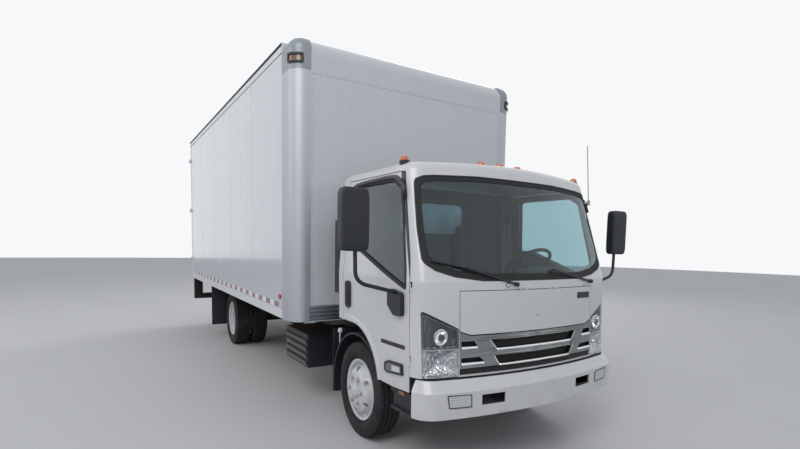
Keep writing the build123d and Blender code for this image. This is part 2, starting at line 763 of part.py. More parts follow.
# Engine, driveline, exhaust and tanks
engine = block(-300, 300, -560, 340, 380, 815)
for side in pair(block(290, rail_out - rail_wall - seat, -300, -210, 660, 720)):
    engine = engine + side
save("engine_block", engine)
gearbox = rod((0, 340 + seat, 560), (0, 1100, 560), 150)
shaft = rod((0, 1130, 545), (0, wheelbase - 330, wheel_z + 15), 42)
shaft = shaft + rod((0, 1090, 545), (0, 1150, 545), 60)
shaft = shaft + rod((0, wheelbase - 345, wheel_z + 15), (0, wheelbase - 300 - seat, wheel_z + 15), 60)
shaft = shaft + rod((0, 2870, 465), (0, 2930, 465), 75) + block(-50, 50, 2870, 2930, 500, 660 - seat)
save("driveline", gearbox + shaft)
muffler = rod((620, 1150, 620), (620, 2050, 620), 125)
pipe = pipe_run([(240, 340 + seat, 600), (240, 700, 600), (330, 820, 590), (500, 960, 590), (620, 1160, 620)], 38)
tail = pipe_run([(620, 2040, 620), (620, 3300, 620), (900, 3500, 600)], 38)
exhaust = muffler + pipe + tail
for y in (1250, 1900):
    exhaust = exhaust + block(rail_out + seat, 560, y, y + 50, 660, 720)
save("exhaust", exhaust)
tank = fillet(block(-330, 330, 5330, 6230, 420, 800).edges(), 40)
for y in (5480, 6000):
    tank = tank + block(-rail_out, rail_out, y, y + 60, 605, rail_low - seat)
save("fuel_tank", tank)
battery = block(-1050, -640, 930, 1610, 395, 730)
for y in (1000, 1480):
    battery = battery + block(-660, -rail_out - seat, y, y + 60, 600, 700)
save("battery_box", battery)

# Guards and flaps
guard = block(700, 960, 495, 503, 270, 860) + block(rail_out + seat, 720, 495, 525, 780, 820)
flap = block(620, 1250, 5020, 5028, 235, box_low - seat) + block(620, 1250, 5020, 5070, box_low - 25, box_low - seat)
save("mud_guards", *pair(guard), *pair(flap))
under_bar = block(-1275, 1275, 6700, 6790, 500, 600)
for s in (1, -1):
    under_bar = under_bar + block(min(s * 1130, s * 1275), max(s * 1130, s * 1275), 6700, 6790, 590, box_low - seat)
    under_bar = under_bar + block(min(s * 370, s * 420), max(s * 370, s * 420), 6700, 6790, 590, box_low - seat)
save("rear_bumper", under_bar)

# Load box
post_face = make_face(
    [
        Line((box_half - post_front, box_front), (box_half - box_corner_r, box_front)),
        ThreePointArc(
            (box_half - box_corner_r, box_front),
            (box_half - box_corner_r * (1 - math.sqrt(0.5)), box_front + box_corner_r * (1 - math.sqrt(0.5))),
            (box_half, box_front + box_corner_r),
        ),
        Line((box_half, box_front + box_corner_r), (box_half, box_front + post_side)),
        Line((box_half, box_front + post_side), (box_half - wall_t, box_front + post_side)),
        Line((box_half - wall_t, box_front + post_side), (box_half - wall_t, box_front + wall_t)),
        Line((box_half - wall_t, box_front + wall_t), (box_half - post_front, box_front + wall_t)),
        Line((box_half - post_front, box_front + wall_t), (box_half - post_front, box_front)),
    ]
)
post = plate_z(post_face, box_low, cap_low)
save("box_front_posts", *pair(post))
cap = block(box_half - post_front, box_half, box_front, box_front + post_side, cap_low, box_high)
corner = cap.edges().filter_by(Axis.Z).group_by(Axis.X)[-1].sort_by(Axis.Y)[0]
cap = fillet(corner, box_corner_r)
top_edge = cap.faces().sort_by(Axis.Z)[-1].edges()
cap = fillet(top_edge.group_by(Axis.Y)[0], cap_top_r)
cap = cap - block(0, box_half - wall_t, box_front + wall_t, 2000, cap_low - 10, box_high - wall_t)
save("box_corner_caps", *pair(cap))
rail_face = make_face(
    [
        Line((box_front, 3170), (box_front, box_high - front_rail_r)),
        ThreePointArc(
            (box_front, box_high - front_rail_r),
            (box_front + front_rail_r * (1 - math.sqrt(0.5)), box_high - front_rail_r * (1 - math.sqrt(0.5))),
            (box_front + front_rail_r, box_high),
        ),
        Line((box_front + front_rail_r, box_high), (box_front + post_side, box_high)),
        Line((box_front + post_side, box_high), (box_front + post_side, box_high - wall_t)),
        Line((box_front + post_side, box_high - wall_t), (box_front + front_rail_r, box_high - wall_t)),
        ThreePointArc(
            (box_front + front_rail_r, box_high - wall_t),
            (box_front + front_rail_r - (front_rail_r - wall_t) * math.sqrt(0.5),
             box_high - front_rail_r + (front_rail_r - wall_t) * math.sqrt(0.5)),
            (box_front + wall_t, box_high - front_rail_r),
        ),
        Line((box_front + wall_t, box_high - front_rail_r), (box_front + wall_t, 3170)),
        Line((box_front + wall_t, 3170), (box_front, 3170)),
    ]
)
save("box_front_rail", plate_x(rail_face, -box_half + post_front, box_half - post_front))
front_wall = block(-box_half + post_front, box_half - post_front, box_front + 3, box_front + wall_t, box_low, 3170)
for low, high, out in [(box_low, 980, 6), (980, 1060, 3)]:
    front_wall = front_wall + block(-box_half + post_front, box_half - post_front,
                                    box_front - out + 3, box_front + 10, low, high)
save("box_front_wall", front_wall)
side_wall = block(box_half - wall_t, box_half - 3, box_front + post_side, box_rear - frame_d,
                  box_low + rail_side_h, top_rail_low)
save("box_side_walls", *pair(side_wall))
top_rail = block(box_half - wall_t, box_half, box_front + post_side, box_rear - frame_d, top_rail_low, box_high)
low_rail = block(box_half - wall_t, box_half, box_front + post_side, box_rear - frame_d, box_low, box_low + rail_side_h)
save("box_side_rails", *pair(top_rail), *pair(low_rail))
roof = block(-box_half + wall_t, box_half - wall_t, box_front + post_side, box_rear - frame_d, box_high - wall_t, box_high)
save("box_roof", roof)
floor = block(-box_half + wall_t, box_half - wall_t, box_front + wall_t, box_rear - frame_d, 985, floor_top)
for k in range(14):
    y = 720 + 430 * k
    floor = floor + block(-box_half + wall_t, box_half - wall_t, y, y + 50, box_low, 986)
for s in (1, -1):
    x0, x1 = sorted((s * rail_in, s * rail_out))
    floor = floor + block(x0, x1, box_front + wall_t, rail_rear, rail_top + seat, 986)
save("box_floor", floor)
rear_frame = block(-box_half, box_half, box_rear - frame_d, box_rear, box_low, box_high)
rear_frame = rear_frame - block(-box_half + frame_w, box_half - frame_w, 0, 9000, floor_top, 3344)
rear_frame_hinges = [1250, 2180, 3110]
for z in rear_frame_hinges:
    for side in pair(block(box_half - 10, rear_axis_x, 6800, rear_axis_y, z + 20 + seat, z + 50)
                     + Pos(rear_axis_x, rear_axis_y, z + 35 + seat / 2) * Cylinder(10, 30 - seat)):
        rear_frame = rear_frame + side
save("box_rear_frame", rear_frame)
leaf = block(6, box_half - frame_w - door_gap, box_rear - wall_t, box_rear, floor_top + door_gap, 3344 - door_gap)
for z in rear_frame_hinges:
    leaf = leaf + block(1050, rear_axis_x, box_rear - 0, box_rear + 8, z - 20, z + 20)
    leaf = leaf + Pos(rear_axis_x, rear_axis_y, z) * Cylinder(10, 40)
leaf = leaf - block(box_half - frame_w - 1, 1400, 6000, box_rear + 0.5, 0, 4000)
for x in (420,):
    bar_y = box_rear + lock_bar_out
    leaf = leaf + rod((x, bar_y, 1040), (x, bar_y, 3320), lock_bar_r)
    for z in (1100, 1700, 2300, 2900, 3260):
        leaf = leaf + block(x - 30, x + 30, box_rear - 1, bar_y, z, z + 40)
save("rear_door_left", leaf)
save("rear_door_right", mirrored(leaf))

# Lamps of the load box
box_lamps = []
for s in (1, -1):
    x0, x1 = sorted((s * (box_half - 3), s * (box_half + 12)))
    box_lamps.append(block(x0, x1, 1010, 1060, 1095, 1135))
    box_lamps.append(block(min(s * 900, s * 1100), max(s * 900, s * 1100), box_rear, box_rear + 15, 930, 990))
    box_lamps.append(block(min(s * 1100, s * 1180), max(s * 1100, s * 1180), box_rear, box_rear + 12, 3380, 3420))
save("box_lamps", *box_lamps)
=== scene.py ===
"""Looks of a low-cab-forward box truck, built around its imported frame.

Lengths are metres. Shapes are written with Y = 0 at the front axle, and every piece is moved by
AXLE_Y to the frame's own origin at mid length. X grows to the vehicle's left, Y to the rear and
Z up.
"""
import math

import bpy
import numpy as np
from mathutils import Matrix


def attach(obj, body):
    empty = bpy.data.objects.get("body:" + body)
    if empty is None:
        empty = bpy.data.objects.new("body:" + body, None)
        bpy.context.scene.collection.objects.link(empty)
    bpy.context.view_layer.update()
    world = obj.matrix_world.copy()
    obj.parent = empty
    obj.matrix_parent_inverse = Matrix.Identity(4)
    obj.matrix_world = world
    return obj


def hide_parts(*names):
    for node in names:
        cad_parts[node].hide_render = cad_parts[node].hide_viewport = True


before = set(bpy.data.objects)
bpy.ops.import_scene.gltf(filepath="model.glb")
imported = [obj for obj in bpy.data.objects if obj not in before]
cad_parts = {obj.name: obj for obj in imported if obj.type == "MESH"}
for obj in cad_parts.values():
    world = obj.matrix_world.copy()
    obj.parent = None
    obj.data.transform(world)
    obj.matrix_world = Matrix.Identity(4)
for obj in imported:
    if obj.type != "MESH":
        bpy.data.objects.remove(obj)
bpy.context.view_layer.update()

AXLE_Y = -2.8105
WHEELBASE = 4.47
WHEEL_Z = 0.4045
FRONT_HUB = (0.8325, 0, WHEEL_Z)
REAR_HUB = (0.825, WHEELBASE, WHEEL_Z)
DUAL_OFFSET = 0.127
BOX_HALF = 1.295
BOX_FRONT = 0.664
BOX_REAR = 6.83
CAB_LEVELS = ((0.6, 0.985, -1.168), (1.4, 0.9975, -1.135), (2.165, 0.945, -0.885))
NOSE_R = 3.6
BUMPER_NOSE = -1.245
ROOF_TOP = 2.275
ROOF_FALL = 0.045
INCH = 0.0254
CORNER_R = 0.16
LIFT = 0.0003  # gap between a plate and the skin it lies on
TIP = 0.0002  # radius at the tip of a turned form
UP, FRONT, SIDE, REAR = (0, 0, 1), (0, -1, 0), (1, 0, 0), (0, 1, 0)


# Shader maths
class Value:
    """A node socket that adds Math nodes when it is used in an expression."""

    def __init__(self, owner, socket):
        self.owner = owner
        self.socket = socket

    def math(self, operation, *inputs):
        return self.owner.node("ShaderNodeMath", {"operation": operation}, inputs)

    def __rsub__(self, other):
        return self.math("SUBTRACT", other, self)

    def abs(self):
        return self.math("ABSOLUTE", self, 0.0)

    def clamp(self):
        return self.owner.node("ShaderNodeClamp", {}, [self])

    def step(self, low, high):
        """0 below low, 1 above high, straight between them."""
        return self.owner.node("ShaderNodeMapRange", {"clamp": True}, [self, low, high, 0.0, 1.0])


for method, operation in (
    ("__add__", "ADD"), ("__radd__", "ADD"), ("__sub__", "SUBTRACT"), ("__mul__", "MULTIPLY"),
    ("__truediv__", "DIVIDE"), ("__mod__", "MODULO"), ("__gt__", "GREATER_THAN"),
    ("__lt__", "LESS_THAN"), ("least", "MINIMUM"), ("most", "MAXIMUM"),
):
    setattr(Value, method, lambda self, other, kind=operation: self.math(kind, self, other))


class Tree:
    """A node tree with one method that adds any node."""

    def __init__(self, tree):
        self.tree = tree

    def node(self, kind, settings, inputs=(), output=0):
        """Add a node: its settings first, then its inputs by place or by name."""
        made = self.tree.nodes.new(kind)
        for key, value in settings.items():
            setattr(made, key, value)
        for key, value in inputs.items() if isinstance(inputs, dict) else enumerate(inputs):
            self.plug(made.inputs[key], value)
        return Value(self, made.outputs[output])

    def plug(self, socket, value):
        if isinstance(value, Value):
            self.tree.links.new(value.socket, socket)
        else:
            socket.default_value = value


class Finish(Tree):
    """A material with one Principled shader."""

    def __init__(self, name, colour, roughness, **constants):
        self.material = bpy.data.materials.new(name)
        self.material.use_nodes = True
        super().__init__(self.material.node_tree)
        self.place = self.node("ShaderNodeTexCoord", {}, (), "Object")
        self.set(Base_Color=(*colour, 1.0), Roughness=roughness, **constants)

    def set(self, **sockets):
        """Give sockets of the shader their values; a socket's spaces are written as _."""
        for name, value in sockets.items():
            self.plug(self.tree.nodes["Principled BSDF"].inputs[name.replace("_", " ")], value)

    def axes(self):
        """X, Y and Z of the point, with Y = 0 at the front axle."""
        split = self.node("ShaderNodeSeparateXYZ", {}, [self.place])
        x, y, z = (Value(self, out) for out in split.socket.node.outputs)
        return x, y - AXLE_Y, z

    def stretched(self, *scale):
        return self.node("ShaderNodeMapping", {}, {"Vector": self.place, "Scale": scale})

    def noise(self, scale, detail=3.0, where=None, rough=0.5):
        inputs = {"Vector": where or self.place, "Scale": scale, "Detail": detail}
        return self.node("ShaderNodeTexNoise", {}, {**inputs, "Roughness": rough})

    def cells(self, scale, where=None, **settings):
        inputs = {"Vector": where or self.place, "Scale": scale}
        return self.node("ShaderNodeTexVoronoi", settings, inputs)

    def mix(self, factor, a, b):
        """Colour a where the factor is 0 and b where it is 1."""
        a, b = ((*c, 1.0) if isinstance(c, tuple) else c for c in (a, b))
        return self.node("ShaderNodeMix", {"data_type": "RGBA"}, {"Factor": factor, 6: a, 7: b}, 2)

    def bump(self, height, strength, distance, **more):
        """Tilt the normal by a height; a second bump takes the first one's normal."""
        inputs = {"Height": height, "Strength": strength, "Distance": distance, **more}
        made = self.node("ShaderNodeBump", {}, inputs)
        self.set(Normal=made)
        return made


def tint(colour, factor):
    return tuple(min(1.0, c * factor) for c in colour)


def painted(name, colour, roughness=0.3, coat=0.5, dirt=0.0, dirt_top=0.9, inner_shade=None):
    """Sprayed paint: faint colour drift, fine peel in the gloss, and road dust low down.

    The inner shade, if any, is a function of (X, Y, Z) that is 1 on the inner side, which gets
    painted shade: near-black colour and no clear coat.
    """
    f = Finish(name, colour, roughness, Coat_Weight=coat, Coat_Roughness=0.08)
    base = f.mix(f.noise(1.3, 2.0), tint(colour, 0.965), tint(colour, 1.02))
    grain = f.noise(9.0, 5.0, rough=0.65)
    if dirt > 0:
        low = 1.0 - f.axes()[2].step(0.25, dirt_top)
        dust = (low * grain.step(0.35, 0.75) * dirt).clamp()
        base = f.mix(dust, base, (0.3, 0.28, 0.26))
        f.set(Roughness=roughness + dust * 0.5)
    else:
        f.set(Roughness=grain.step(0.2, 0.9) * 0.06 + (roughness - 0.03))
    # Painted shade: near-black colour and no clear coat on the inner side.
    if inner_shade:
        inside = inner_shade(*f.axes())
        base = f.mix(inside, base, (0.035, 0.037, 0.04))
        f.set(Coat_Weight=(1.0 - inside) * coat)
    f.set(Base_Color=base)
    f.bump(f.noise(260.0, 2.0), 0.012, 0.002)
    return f.material


def box_panel(name, colour, roughness):
    """Gloss panel: long shallow waves down the sheet bend what it mirrors."""
    f = Finish(name, colour, roughness, Coat_Weight=0.6, Coat_Roughness=0.05)
    streak = f.noise(1.0, 4.0, f.stretched(2.0, 2.0, 0.35))
    f.set(Base_Color=f.mix(streak, tint(colour, 0.97), tint(colour, 1.02)))
    f.set(Roughness=f.noise(3.0, 4.0).step(0.2, 0.9) * 0.08 + roughness - 0.04)
    first = f.bump(f.noise(1.0, 2.0, f.stretched(5.0, 5.0, 0.7)), 0.5, 0.014)
    f.bump(f.noise(1.0, 2.0, f.stretched(22.0, 22.0, 5.0)), 0.3, 0.006, Normal=first)
    return f.material


def metal(name, colour, roughness, grain=(60.0, 60.0, 1.2), strength=0.12, spots=0.0):
    """Bare metal with its drawing marks along one axis and a little haze."""
    f = Finish(name, colour, roughness, Metallic=1.0)
    lines = f.noise(1.0, 4.0, f.stretched(*grain))
    haze = f.noise(2.2, 4.0)
    f.set(Base_Color=f.mix(haze, tint(colour, 0.86), tint(colour, 1.05)))
    dull = haze.step(0.35, 0.8) * (0.1 + spots)
    f.set(Roughness=(lines * 0.1 + dull + roughness - 0.08).clamp())
    f.bump(lines, strength, 0.0015)
    return f.material


def plastic(name, colour, roughness=0.5, grain=420.0, strength=0.25, wear=0.12):
    """Moulded plastic: fine leather grain, and a grey bloom where it weathers."""
    f = Finish(name, colour, roughness)
    bloom = f.noise(3.5, 5.0, rough=0.6).step(0.45, 0.8)
    f.set(Base_Color=f.mix(bloom * wear, colour, tuple(c * 0.6 + 0.14 for c in colour)))
    f.set(Roughness=bloom * 0.12 + roughness)
    f.bump(f.cells(grain), strength, 0.0006)
    return f.material


def rubber(name):
    """Tyre rubber: dusty shoulders and fine moulding lines."""
    f = Finish(name, (0.028, 0.028, 0.03), 0.78)
    dust = f.noise(7.0, 6.0, rough=0.65).step(0.42, 0.85)
    f.set(Base_Color=f.mix(dust * 0.45, (0.012, 0.012, 0.014), (0.07, 0.068, 0.066)))
    f.set(Roughness=0.9 - dust * 0.2)
    f.bump(f.noise(330.0, 3.0), 0.18, 0.0008)
    return f.material


def chromed(name):
    """Chrome plating with a trace of haze and dried water marks."""
    f = Finish(name, (0.82, 0.83, 0.84), 0.06, Metallic=1.0)
    marks = f.noise(26.0, 6.0, rough=0.7).step(0.55, 0.85)
    f.set(Base_Color=f.mix(marks, (0.84, 0.85, 0.86), (0.66, 0.66, 0.66)))
    f.set(Roughness=marks * 0.16 + 0.05)
    f.bump(f.noise(6.0, 2.0), 0.03, 0.004)
    return f.material


def chrome_or_black(name, dark, bright, black, facets=0.0):
    """Plating with moulded black where the function of Z is 1, faceted if asked for."""
    f = Finish(name, bright, 0.06)
    where = dark(f.axes()[2])
    marks = f.noise(26.0, 6.0, rough=0.7).step(0.55, 0.85)
    f.set(Base_Color=f.mix(where, f.mix(marks, bright, tint(bright, 0.8)), black))
    f.set(Metallic=1.0 - where, Roughness=marks * 0.16 + where * 0.55 + 0.05)
    if facets > 0:
        cells = f.cells(1.0, f.stretched(46.0, 46.0, 24.0), distance="CHEBYCHEV")
        f.bump(cells * (1.0 - where), facets, 0.012)
    else:
        f.bump(f.noise(6.0, 2.0), 0.03, 0.004)
    return f.material


def glazing(name, colour, roughness=0.02):
    """Thin tinted glass with a faint film of dust."""
    f = Finish(name, colour, roughness, Transmission_Weight=1.0, IOR=1.45)
    film = f.noise(4.0, 6.0, rough=0.65).step(0.5, 0.9)
    f.set(Base_Color=f.mix(film * 0.25, colour, tint(colour, 0.8)))
    f.set(Roughness=film * 0.05 + roughness)
    return f.material


def lens(name, colour, flute=160.0, strength=0.25, roughness=0.12):
    """Coloured lamp lens with moulded flutes."""
    f = Finish(name, colour, roughness, Coat_Weight=0.8, Coat_Roughness=0.04)
    f.set(Base_Color=f.mix(f.noise(30.0, 3.0), tint(colour, 0.75), tint(colour, 1.15)))
    f.bump(f.cells(flute, distance="CHEBYCHEV"), strength, 0.001)
    return f.material


def cloth(name, colour):
    """Woven seat cloth: crossing threads and a soft sheen."""
    f = Finish(name, colour, 0.9, Sheen_Weight=0.35)
    inputs = {"Vector": f.place, "Scale": 150.0, "Distortion": 0.6}
    across, upright = (f.node("ShaderNodeTexWave", {"bands_direction": k}, inputs) for k in "XZ")
    f.set(Base_Color=f.mix(f.noise(14.0, 5.0), tint(colour, 0.8), tint(colour, 1.15)))
    f.bump(across * 0.5 + upright * 0.5, 0.35, 0.0012)
    return f.material


def timber(name):
    """Hardwood floor boards along the box, with joints and grain."""
    f = Finish(name, (0.4, 0.26, 0.14), 0.6)
    grain = f.noise(1.0, 6.0, f.stretched(60.0, 3.0, 60.0), 0.6)
    board = f.noise(1.0, 0.0, f.stretched(7.0, 0.4, 0.1))
    shade = (grain * 0.6 + board * 0.5).clamp()
    f.set(Base_Color=f.mix(shade, (0.22, 0.13, 0.07), (0.52, 0.36, 0.21)))
    joint = ((f.axes()[0] * 7.5) % 1.0).abs() < 0.03
    f.bump(grain - joint, 0.3, 0.003)
    return f.material


def cast(name, colour, roughness, scale, strength, rust=0.0):
    """Cast or forged metal under dull paint, with a rough skin."""
    f = Finish(name, colour, roughness, Metallic=0.35)
    patch = f.noise(5.0, 6.0, rough=0.65).step(0.5, 0.8)
    worn = (0.16, 0.11, 0.08) if rust else tint(colour, 1.7)
    f.set(Base_Color=f.mix(patch * (0.3 + rust), colour, worn))
    f.set(Roughness=patch * 0.15 + roughness)
    f.bump(f.noise(scale, 6.0, rough=0.6), strength, 0.002)
    return f.material


def cab_line(z, part, column):
    """The straight line at height z between the cab's levels part and part + 1, in one column."""
    low, high = CAB_LEVELS[part], CAB_LEVELS[part + 1]
    return (z - low[0]) * ((high[column] - low[column]) / (high[0] - low[0])) + low[column]


def shell_inner_shade(x, y, z):
    """Inner side of the shell, which gets painted shade: behind its front skin, inside its sides,
    ahead of its back.
    """
    wide = x.abs()
    nose = cab_line(z, 0, 2).most(cab_line(z, 1, 2))
    depth = y - nose - wide * wide / (2 * NOSE_R) - (wide - 0.8).most(0.0) * 0.6
    return (wide < 0.905) * (depth > 0.035) * (y < 0.33) * (z > 1.0) * (z < 2.19)


def door_inner_shade(x, y, z):
    """Inner side of a door, which gets painted shade: more than 6 mm inside its outer skin."""
    return x.abs() < cab_line(z, 0, 1).least(cab_line(z, 1, 1)) - 0.006


def bumper_inner_shade(x, y, z):
    """Inner side of the bumper, which gets painted shade: more than 20 mm behind its face."""
    return (y - x * x / (2 * NOSE_R) > BUMPER_NOSE + 0.02) * (x.abs() < 0.86) * (z < 0.655)


WHITE = (0.66, 0.665, 0.675)
# The cab's white; the shell, the doors and the bumper carry painted shade on their inner side.
cab_paint, shell_paint_and_inner_shade, door_paint_and_inner_shade, bumper_paint_and_inner_shade = (
    painted(name, WHITE, 0.3, 0.5, 0.28, 1.0, inner_shade)
    for name, inner_shade in (
        ("cab_paint", None), ("shell_paint_and_inner_shade", shell_inner_shade),
        ("door_paint_and_inner_shade", door_inner_shade), ("bumper_paint_and_inner_shade", bumper_inner_shade),
    )
)
rim_paint = painted("rim_paint", (0.66, 0.67, 0.69), 0.38, 0.3, 0.45, 0.9)
rail_paint = painted("rail_paint", (0.7, 0.72, 0.75), 0.34, 0.3, 0.25, 1.1)
lamp_white = painted("lamp_white", (0.66, 0.67, 0.68), 0.25, 0.4)
tape_white = painted("tape_white", (0.8, 0.81, 0.82), 0.35, 0.3)
# Painted shade: the box's white panels and front wall get greys darker and bluer than the cab's
# white.
panel_gloss = box_panel("panel_gloss", (0.53, 0.56, 0.62), 0.18)
wall_paint = box_panel("wall_paint", (0.6, 0.63, 0.66), 0.3)
post_metal = metal("post_metal", (0.5, 0.51, 0.56), 0.55)
steel = metal("bare_steel", (0.36, 0.35, 0.34), 0.38, (30.0, 2.0, 30.0), 0.2, 0.15)
rivet_metal = metal("rivet_metal", (0.42, 0.43, 0.45), 0.4, (40.0, 40.0, 40.0), 0.1)
nut_metal = metal("nut_metal", (0.6, 0.6, 0.6), 0.42, (30.0, 30.0, 30.0), 0.1)
# Painted shade: the sill is the ridges' metal made darker, as shade between and behind the ridges.
sill_metal_painted_shade = metal("sill_metal_painted_shade", (0.3, 0.32, 0.36), 0.42, (1.2, 60.0, 60.0), 0.2)
ridge_metal = metal("ridge_metal", (0.5, 0.52, 0.57), 0.42, (1.2, 60.0, 60.0), 0.2)
tread_pale = metal("tread_pale", (0.42, 0.42, 0.42), 0.45, (40.0, 40.0, 40.0), 0.3, 0.2)
cap_metal = cast("cap_metal", (0.3, 0.33, 0.36), 0.42, 60.0, 0.12)
frame_paint = cast("frame_paint", (0.016, 0.016, 0.018), 0.5, 120.0, 0.2)
dark_casting = cast("dark_casting", (0.03, 0.028, 0.027), 0.7, 70.0, 0.5, rust=0.35)
black_plastic = plastic("black_plastic", (0.013, 0.016, 0.021), wear=0.06)
dash_plastic = plastic("dash_plastic", (0.075, 0.08, 0.085), 0.6, 300.0, 0.35, 0.05)
black_border = plastic("black_border", (0.008, 0.009, 0.01), 0.7, 900.0, 0.05, 0.02)
seal_rubber = plastic("seal_rubber", (0.014, 0.014, 0.015), 0.62, 700.0, 0.1, 0.1)
smoked = plastic("smoked_bezel", (0.035, 0.037, 0.04), 0.25, 500.0, 0.05, 0.05)
mesh_black = plastic("mesh_black", (0.006, 0.006, 0.007), 0.8, 120.0, 0.6, 0.02)
visor_black = plastic("visor_black", (0.02, 0.022, 0.024), 0.16, 500.0, 0.04, 0.02)
gloss_black = plastic("gloss_black", (0.008, 0.008, 0.009), 0.18, 600.0, 0.05, 0.04)
tyre_rubber = rubber("tyre_rubber")
lamp_metal, bright, mirror_silver = map(chromed, ("lamp_metal", "bright_chrome", "mirror_silver"))
grille_finish = chrome_or_black(
    "grille_finish", lambda z: z < 0.8, (0.36, 0.375, 0.37), (0.006, 0.006, 0.007)
)
lamp_finish = chrome_or_black(
    "lamp_finish", lambda z: z > 0.945, (0.6, 0.61, 0.63), (0.16, 0.165, 0.18), 0.8
)
tinted_glass = glazing("tinted_glass", (0.51, 0.68, 0.72))
clear_lens = glazing("clear_lens", (0.92, 0.94, 0.95), 0.03)
amber_lens = lens("amber_lens", (0.72, 0.13, 0.012))
box_lamp_finish = lens("box_lamp_finish", (0.5, 0.012, 0.01))
# Painted shade: the corner caps' amber lens is darkened for the shade under the cap's hood.
amber_painted_shade = lens("amber_painted_shade", (0.22, 0.085, 0.035))
pale_lens = lens("pale_lens", (0.56, 0.58, 0.6))
turn_grey = lens("turn_grey", (0.13, 0.135, 0.14), 220.0, 0.3, 0.08)
orange = lens("orange_reflector", (0.36, 0.085, 0.012), 300.0, 0.2)
tape_red = lens("tape_red", (0.24, 0.014, 0.018), 600.0, 0.1, 0.3)
seat_cloth = cloth("seat_cloth", (0.085, 0.09, 0.098))
floor_boards = timber("floor_boards")

# A material with the slot it stands for
CAB_WHITE = (cab_paint, "cab_white")
BLACK = (black_plastic, "black_plastic")
SEAL = (seal_rubber, "black_plastic")
DASH = (dash_plastic, "dash_grey")
CLOTH = (seat_cloth, "seat_cloth")
STEEL = (steel, "bare_steel")
RIM = (rim_paint, "rim_white")
CHROME = (lamp_metal, "chrome")
PALE = (lamp_white, "clear_lens")
TURN = (turn_grey, "clear_lens")
GLOSS = (gloss_black, "black_plastic")

NODE_FINISH = {
    cab_paint: "front_lid",
    shell_paint_and_inner_shade: "cab_shell",
    door_paint_and_inner_shade: "door_left door_right",
    bumper_paint_and_inner_shade: "front_bumper",
    tinted_glass: "cab_glass door_glass_left door_glass_right",
    grille_finish: "grille",
    lamp_finish: "headlamp_bodies",
    clear_lens: "headlamp_lenses",
    black_plastic: "mirror_left mirror_right cab_lower_trim air_duct wipers battery_box"
                   " mud_guards steering_wheel",
    dash_plastic: "dashboard",
    seat_cloth: "seats",
    amber_lens: "roof_lamps",
    box_lamp_finish: "box_lamps",
    steel: "antenna exhaust",
    frame_paint: "frame_rails fuel_tank rear_bumper",
    dark_casting: "front_axle leaf_springs rear_axle knuckle_left knuckle_right engine_block"
                  " driveline",
    rim_paint: "front_rim_left front_rim_right rear_rims_left rear_rims_right",
    tyre_rubber: "front_tyre_left front_tyre_right rear_tyres_left rear_tyres_right",
    post_metal: "box_front_posts",
    cap_metal: "box_corner_caps",
    wall_paint: "box_front_wall box_front_rail",
    panel_gloss: "box_side_walls box_roof rear_door_left rear_door_right",
    rail_paint: "box_side_rails box_rear_frame",
    floor_boards: "box_floor",
}
for material, names in NODE_FINISH.items():
    for name in names.split():
        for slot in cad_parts[name].material_slots:
            slot.material = material


# Meshes: each form is (vertices, faces)
def quads(rows, columns, closed=False):
    """Faces of a grid whose rows are rings, also from the last ring to the first if closed."""
    i, j = np.meshgrid(np.arange(rows - (not closed)), np.arange(columns), indexing="ij")
    a, b = i * columns, (i + 1) % rows * columns
    j2 = (j + 1) % columns
    return np.stack([a + j, a + j2, b + j2, b + j], -1).reshape(-1, 4)


def surface(points, closed=False):
    """A form from a grid of points whose rows are rings."""
    return points.reshape(-1, 3), quads(*points.shape[:2], closed)


def capped(ring):
    """A form from rings, with each end drawn together to the middle of its ring."""
    first, last = (
        ring[k:k + 1].mean(1, keepdims=True).repeat(ring.shape[1], 1) for k in (0, len(ring) - 1)
    )
    return surface(np.concatenate([first, ring, last]))


def joined(parts):
    """One form from several."""
    vertices, faces, start = [], [], 0
    for v, f in parts:
        vertices.append(v)
        faces.extend([[k + start for k in face] for face in f])
        start += len(v)
    return np.concatenate(vertices), faces


def flipped(part):
    """The same form on the other side of the centreline, still facing out."""
    v, f = part
    return v * (-1, 1, 1), [list(face)[::-1] for face in f]


def signed_volume(vertices, faces):
    """Sum of the signed volumes between the origin and each face's fan of triangles."""
    total = 0.0
    for size in {len(face) for face in faces}:
        corners = vertices[np.array([list(face) for face in faces if len(face) == size])]
        for k in range(1, size - 1):
            across = np.cross(corners[:, k], corners[:, k + 1])
            total += np.einsum("ij,ij->", corners[:, 0], across)
    return total / 6


def placed(name, data):
    """A new object of the scene with these data."""
    made = bpy.data.objects.new(name, data)
    bpy.context.scene.collection.objects.link(made)
    return made


def shown(name, part, body, material, slot, smooth=True, auto=None, replaces=()):
    """Make a piece from a form, move it to the frame and let it ride on a body."""
    vertices, faces = part
    mesh = bpy.data.meshes.new(name)
    vertices = np.asarray(vertices, float) + (0, AXLE_Y, 0)
    mesh.from_pydata(vertices.tolist(), [], [list(map(int, face)) for face in faces])
    mesh.materials.append(material)
    mesh.update()
    mesh.validate()
    mesh.polygons.foreach_set("use_smooth", np.full(len(mesh.polygons), smooth))
    made = placed(name, mesh)
    if auto:
        mesh.set_sharp_from_angle(angle=math.radians(auto))
    if signed_volume(vertices, faces) < 0:
        mesh.flip_normals()
    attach(made, body)
    if replaces:
        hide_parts(*replaces)
    return made


def pair(name, part, body, material, slot, replaces="", **more):
    """A piece of the left side and its mirror image; {} in a name stands for the side."""
    for side, made in (("left", part), ("right", flipped(part))):
        replaced = [replaces.format(side)] if replaces else ()
        shown(
            f"{name}_{side}", made, body.format(side), material, slot, replaces=replaced, **more
        )


